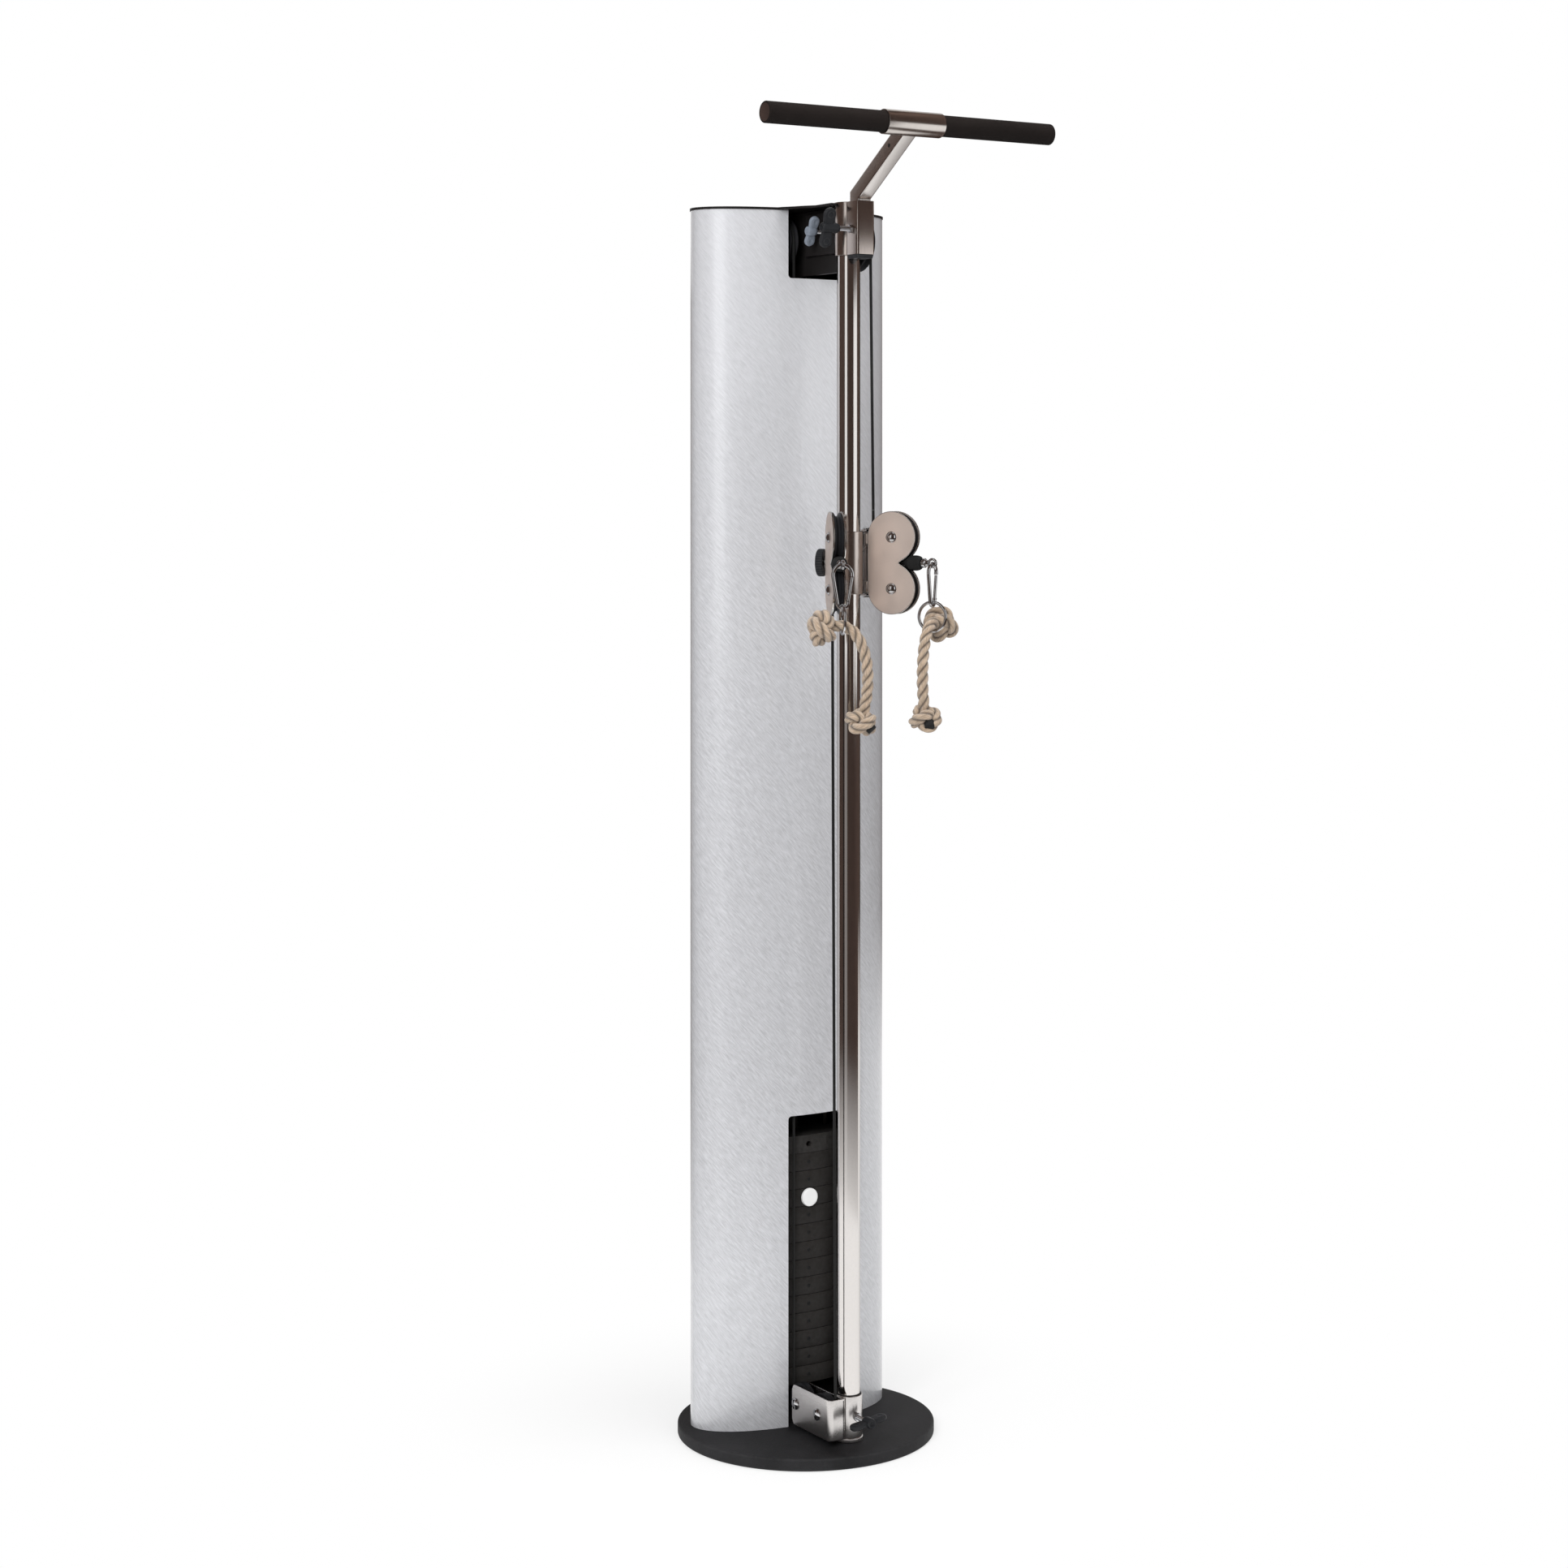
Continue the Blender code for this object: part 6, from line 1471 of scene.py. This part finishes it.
def hook_lines():
    """Centre lines of the hook's wire and of its gate: two arcs with straight sides that touch
    both, open on one side where the gate closes it."""
    top, bottom = (0.0, CROWN - HOOK_TOP), (0.0, FOOT + HOOK_BOTTOM)
    lean = np.degrees(np.arcsin((HOOK_TOP - HOOK_BOTTOM) / HOOK_BETWEEN))
    lower = arc_points(bottom, HOOK_BOTTOM, -lean, -180 + lean, 24)
    upper = arc_points(top, HOOK_TOP, 180 + lean, -lean, 36)
    nose, root = upper[-1], lower[0]
    along = (nose - root) / np.linalg.norm(nose - root)
    pivot = root + along * 0.006
    gate = np.linspace(pivot + along * 0.0003, nose - along * 0.0013, 12)
    return np.concatenate([[pivot], lower, upper]), gate, along


class MACHINE_OT_hooks(bpy.types.Operator):
    """Bends the snap hooks, their gates and the rings that carry the ropes"""
    bl_idname = "cable_machine.hooks"
    bl_label = "Snap hooks and rings"

    def execute(self, context):
        wire, gate, along = hook_lines()
        run = run_lengths(wire)
        thick = HOOK_WIRE * (1 + 0.10 * np.exp(-((run - run[-1]) / 0.004) ** 2))
        sections = round_section(1.0)[None] * thick[:, None, None]
        hook = sweep(in_block(wire), sections, (0, 1, 0), "bright_steel")
        rivet = soften([(0, RIVET_HALF), (RIVET_RADIUS, RIVET_HALF), (RIVET_RADIUS, -RIVET_HALF),
                        (0, -RIVET_HALF)], 0.0005, 3)
        rivet = turned_at(rivet, "zinc", in_block([wire[0] - along * 0.0022])[0], (0, 1, 0), 20)
        bar = sweep(in_block(gate), round_section(GATE_WIRE), (0, 1, 0), "bright_steel")
        ring = wire_ring(RING_RADIUS, RING_CENTRE, RING_WIRE, 72, 18)
        pieces = (("_snap_hook_bent", "_snap_hook", [hook, rivet]), ("_gate_bar", "_hook_gate", [bar]),
                  ("_ring_welded", "_ring", [ring]))
        for label in SIDES:
            for name, node, surfaces in pieces:
                make_piece(label + name, moved(surfaces, block_matrix(label)), label + node,
                           "polished_steel")
        return {"FINISHED"}


def strand_section(length, radius, phase=0.0):
    """Lobed section of a twisted rope: r(f) = b cos f + sqrt(a^2 - b^2 sin^2 f), where f is the
    angle from the nearest strand and the strands turn once in each lay. Also how deep each
    point lies in a groove, from 0 to 1, which hemp() uses for painted shade in the grooves."""
    b, a = 0.42 * radius, 0.58 * radius
    angle = np.linspace(0, TAU, 54, endpoint=False)
    part = TAU / looks().rope_strands
    f = angle[None] + (TAU * length / looks().rope_lay + phase)[:, None]
    f = (f + part / 2) % part - part / 2
    r = b * np.cos(f) + np.sqrt(a ** 2 - (b * np.sin(f)) ** 2)
    deepest = b * np.cos(part / 2) + np.sqrt(a ** 2 - (b * np.sin(part / 2)) ** 2)
    groove = np.clip((radius * 0.94 - r) / (radius * 0.94 - deepest), 0, 1) ** 1.3
    return np.stack([r * np.cos(angle), r * np.sin(angle)], -1), groove


def knot_surface(size, phase):
    """Tight overhand knot: the line ((R + r cos 3t) cos 2t, (R + r cos 3t) sin 2t, h sin 3t),
    with the rope's own strands twisted along it."""
    t = np.linspace(0, TAU, 260, endpoint=False)
    wide, narrow, height = 0.0116 * size, 0.0052 * size, 0.0092 * size
    ring = wide + narrow * np.cos(3 * t)
    line = np.stack([ring * np.cos(2 * t), ring * np.sin(2 * t), height * np.sin(3 * t)], -1)
    *length, total = run_lengths(np.concatenate([line, line[:1]]))
    lay, strands = looks().rope_lay, looks().rope_strands
    turns = round(total / lay * strands) / strands
    sections, groove = strand_section(np.array(length) * (turns * lay / total), 0.0086 * size, phase)
    outward = line / np.linalg.norm(line, axis=1, keepdims=True)
    return sweep(line, sections, outward, "hemp", True, groove)


class MACHINE_OT_ropes(bpy.types.Operator):
    """Lays the two hemp ropes through their rings, with a knot at each end"""
    bl_idname = "cable_machine.ropes"
    bl_label = "Ropes and knots"

    def execute(self, context):
        for label, side in SIDES.items():
            place, body = block_matrix(label), label + "_ring"
            steps = np.array(ROPE_STEPS)
            route = np.column_stack([-side * steps[:, 0] * ROPE_SWING, ROPE_TOP + steps[:, 1] * ROPE_DROP])
            line = in_block(smooth_line(route, 14))
            length = run_lengths(line)
            sections, groove = strand_section(length, ROPE_RADIUS)
            rope = sweep(line, sections, (0, 1, 0), "hemp", False, groove).moved(place)
            piece = make_piece(label + "_rope_twisted", [rope], label + "_rope", "hemp", 60)
            knots = []
            for word, (x, z), size, tilt, phase in (("upper", route[0], 1.22, (14, 82, 25), 0.4),
                                                    ("lower", route[-1], 1.10, (12, -10 * side, 35), 1.9)):
                turn = place @ at(x, -EYE_AHEAD, z)
                for axis, angle in zip("XYZ", tilt):
                    turn = turn @ Matrix.Rotation(np.radians(angle), 4, axis)
                knot = knot_surface(size, phase).moved(turn)
                knots.append(make_piece(f"{label}_{word}_knot", [knot], None, "hemp", 60, body))
            x, z = route[-1]
            tape = soften([(0, 0.0), (TAPE_RADIUS, 0.0), (TAPE_RADIUS, TAPE_LENGTH), (0, TAPE_LENGTH)],
                          0.0012, 3)
            tape = revolve(tape, "black_rubber", 32)
            end = axis_matrix((x - side * 0.008, -EYE_AHEAD - 0.011, z - 0.004), (-side * 0.65, -0.30, -0.7))
            knots.append(make_piece(label + "_rope_tape", [tape.moved(place @ end)], None, "black_rubber",
                                    body=body))
            path = [tuple(place @ Vector(p)) for p in line]
            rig.cord(piece, exit=path[0], length=float(length[-1]), diameter=2 * ROPE_RADIUS, far_end="knot",
                    stiffness="stiff", lay="hanging", path=path, with_pieces=knots)
        return {"FINISHED"}


# Studio

WHITE = (1.0, 1.0, 1.0, 1.0)
CAMERA_PLACE = (-2.625, -4.132, 1.564)
CAMERA_TURN = 32.0
CAMERA_SHIFT = -0.1857
FLOOR_SIZE = 14.0
FLOOR_HEIGHT = -0.0005
FLOOR_COLOUR = (0.86, 0.86, 0.86, 1.0)
FLOOR_SHADE = 0.35
SCREEN_DISTANCE = 1.2
SCREEN_COLOUR = (0.075, 0.052, 0.044, 1.0)
SCREEN_TOP = 4.4
SCREEN_FADE = 0.12
SCREEN_TURN = 5.0
# Dark parts of the room: start and end in degrees to the right of the camera, heights where
# each starts, is full and ends, and its depth of shade
DARK_PARTS = ((-180, -114, -0.12, 0.36, 1.95, 0.9), (-114, -34, -0.12, 0.36, SCREEN_TOP, 1.0),
              (-34, -9, -0.12, 0.36, 1.2, 0.8), (-9, 45, -0.12, 0.36, SCREEN_TOP, 1.0),
              (45, 100, -0.12, 0.36, 1.15, 1.0), (87, 100, -0.12, 0.36, 2.3, 1.0),
              (100, 180, 0.40, 0.70, 2.3, 1.0), (-134, -114, 1.95, 2.05, SCREEN_TOP, 0.75),
              (42, 87, 2.06, 2.16, SCREEN_TOP, 1.0), (-145, 145, 2.55, 2.7, SCREEN_TOP, 1.0))
# Place, size and share of the lamp power of each soft lamp
LAMPS = {"lamp_left": ((-3.2, -2.6, 3.0), (1.8, 2.6), 1.0),
         "lamp_right": ((3.0, -2.4, 2.6), (1.4, 2.4), 0.15),
         "lamp_top": ((0.2, -0.8, 4.2), (1.6, 1.6), 0.35)}
LAMP_AIM = (0, 0, 1.1)


def rays_that_see(tree):
    """1 for camera, mirror and clear rays, and 0 for those that light."""
    paths = add(tree, "LightPath")
    seen = math(tree, "MAXIMUM", paths["Is Camera Ray"], paths["Is Glossy Ray"])
    return math(tree, "MAXIMUM", seen, paths["Is Transmission Ray"])


def matt_and_glow(name, colour, glow_of):
    """Matt material that gives way to a white glow by the share that glow_of makes."""
    made = bpy.data.materials.new(name)
    made.use_nodes = True
    tree = made.node_tree
    tree.nodes.remove(tree.nodes["Principled BSDF"])
    matt = add(tree, "BsdfDiffuse", {"Color": colour})[0]
    glow = add(tree, "Emission", {"Color": WHITE, "Strength": 1.0})[0]
    both = add(tree, "MixShader", {0: glow_of(tree), 1: matt, 2: glow})[0]
    tree.links.new(both, tree.nodes["Material Output"].inputs["Surface"])
    return made


def floor_glow(tree):
    """All of it for rays that see, less a share of real shade that is kept round the foot for
    the shadow and fades out."""
    away = add(tree, "VectorMath", {0: add(tree, "TexCoord")["Object"]}, operation="LENGTH")["Value"]
    white = span(tree, away, 1 - FLOOR_SHADE, 1.0, 0.22, 0.75, interpolation_type="SMOOTHSTEP")
    return math(tree, "MULTIPLY", rays_that_see(tree), white)


def room_shade(angle, z):
    """Shade of the room, the deepest of its dark parts at each angle and height: each part is
    full inside, and fades out over SCREEN_TURN degrees and SCREEN_FADE of height."""
    shade = np.zeros(np.broadcast(angle, z).shape)
    for start, end, low, full, high, depth in DARK_PARTS:
        across = np.clip(np.minimum(angle - start, end - angle) / SCREEN_TURN + 1, 0, 1)
        up = np.clip((z - low) / (full - low), 0, 1) * np.clip((high - z) / SCREEN_FADE + 1, 0, 1)
        shade = np.maximum(shade, depth * across * up)
    return shade


def studio_part(name, points, faces, material):
    """Mesh that belongs to the studio, not to the machine."""
    mesh = bpy.data.meshes.new(name)
    mesh.from_pydata(points, [], faces)
    mesh.materials.append(material)
    obj = bpy.data.objects.new(name, mesh)
    bpy.context.scene.collection.objects.link(obj)
    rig.stage(obj)
    return obj


def white_floor():
    """Square of FLOOR_SIZE under the base, facing up."""
    half = FLOOR_SIZE / 2
    corners = [(x, y, FLOOR_HEIGHT) for x, y in ((-half, -half), (half, -half), (half, half), (-half, half))]
    white = matt_and_glow("studio_floor", FLOOR_COLOUR, floor_glow)
    studio_part("studio_floor", corners, [(0, 1, 2, 3)], white)


def dark_screen():
    """Closed round screen that only mirror rays see, as a photographer's room with dark and
    white parts: points R (sin a, -cos a, z), brown cloth by the shade at each point and the
    floor's white elsewhere."""
    angle = np.linspace(-180, 180, 121)
    z = np.append(np.arange(0, 2.8, 0.05), (SCREEN_TOP, SCREEN_TOP))[:, None]
    radius = np.append(np.full(len(z) - 1, SCREEN_DISTANCE), 0.01)[:, None]
    a = np.radians(angle - CAMERA_TURN)
    points = np.stack([radius * np.sin(a), -radius * np.cos(a), np.broadcast_to(z, (len(z), len(a)))], -1)
    cloth = matt_and_glow("screen_cloth", SCREEN_COLOUR,
                          lambda tree: add(tree, "Attribute", attribute_name="light")["Fac"])
    screen = studio_part("screen_round", points.reshape(-1, 3).tolist(),
                         grid_faces(*points.shape[:2]).tolist(), cloth)
    light = screen.data.attributes.new("light", "FLOAT", "POINT")
    light.data.foreach_set("value", (1 - room_shade(angle, z)).ravel().astype(np.float32))
    screen.visible_camera = screen.visible_diffuse = False
    screen.visible_shadow = screen.visible_transmission = False


def soft_lamp(name, place, size, share):
    """Rectangular lamp that lights the machine and isn't seen."""
    lamp = bpy.data.lights.new(name, "AREA")
    lamp.shape = "RECTANGLE"
    lamp.size, lamp.size_y = size
    lamp.energy = looks().lamp_power * share
    obj = bpy.data.objects.new(name, lamp)
    obj.location = place
    obj.rotation_euler = (Vector(LAMP_AIM) - Vector(place)).to_track_quat("-Z", "Y").to_euler()
    obj.visible_camera = obj.visible_glossy = False
    bpy.context.scene.collection.objects.link(obj)


class MACHINE_OT_studio(bpy.types.Operator):
    """Sets the camera, the white room, its round screen and the soft lamps"""
    bl_idname = "cable_machine.studio"
    bl_label = "Studio"

    def execute(self, context):
        scene = context.scene
        lens = bpy.data.cameras.new("camera")
        lens.lens = looks().focal_length
        lens.sensor_width = 36.0
        lens.shift_y = CAMERA_SHIFT
        camera = bpy.data.objects.new("camera", lens)
        camera.location = CAMERA_PLACE
        camera.rotation_euler = (np.pi / 2, 0.0, -np.radians(CAMERA_TURN))
        scene.collection.objects.link(camera)
        scene.camera = camera

        world = bpy.data.worlds.new("studio_light")
        world.use_nodes = True
        tree = world.node_tree
        ground = tree.nodes["Background"].inputs
        ground["Color"].default_value = WHITE
        tree.links.new(span(tree, rays_that_see(tree), looks().world_level, 1.0), ground["Strength"])
        scene.world = world

        white_floor()
        dark_screen()
        for name, settings in LAMPS.items():
            soft_lamp(name, *settings)
        scene.view_settings.view_transform = "Standard"
        return {"FINISHED"}


# Panel and run

OPERATORS = (
    MACHINE_OT_studio, MACHINE_OT_ropes, MACHINE_OT_column, MACHINE_OT_base, MACHINE_OT_weight_stack,
    MACHINE_OT_wheels, MACHINE_OT_tube, MACHINE_OT_bottom_bracket, MACHINE_OT_carriage, MACHINE_OT_handle,
    MACHINE_OT_wing_screws, MACHINE_OT_blocks, MACHINE_OT_hooks,
)


class MACHINE_PT_looks(bpy.types.Panel):
    """Settings and makers of the cable machine's looks"""
    bl_label = "Cable machine"
    bl_idname = "MACHINE_PT_looks"
    bl_space_type = "VIEW_3D"
    bl_region_type = "UI"
    bl_category = "Cable machine"

    def draw(self, context):
        for key in CableMachineLooks.__annotations__:
            self.layout.prop(context.scene.cable_machine_looks, key)
        for operator in OPERATORS:
            self.layout.operator(operator.bl_idname)


CLASSES = (CableMachineLooks, *OPERATORS, MACHINE_PT_looks)


def register():
    for cls in CLASSES:
        bpy.utils.register_class(cls)
    bpy.types.Scene.cable_machine_looks = PointerProperty(type=CableMachineLooks)


def unregister():
    del bpy.types.Scene.cable_machine_looks
    for cls in reversed(CLASSES):
        bpy.utils.unregister_class(cls)


def main():
    register()
    for operator in OPERATORS:
        group, name = operator.bl_idname.split(".")
        getattr(getattr(bpy.ops, group), name)()
    sizes = {"cad": [list(v) for v in CAD_BOX], "visual": [list(v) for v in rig.bounds()]}
    with open("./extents.json", "w") as file:
        json.dump(sizes, file, indent=1)


if __name__ == "__main__":
    main()
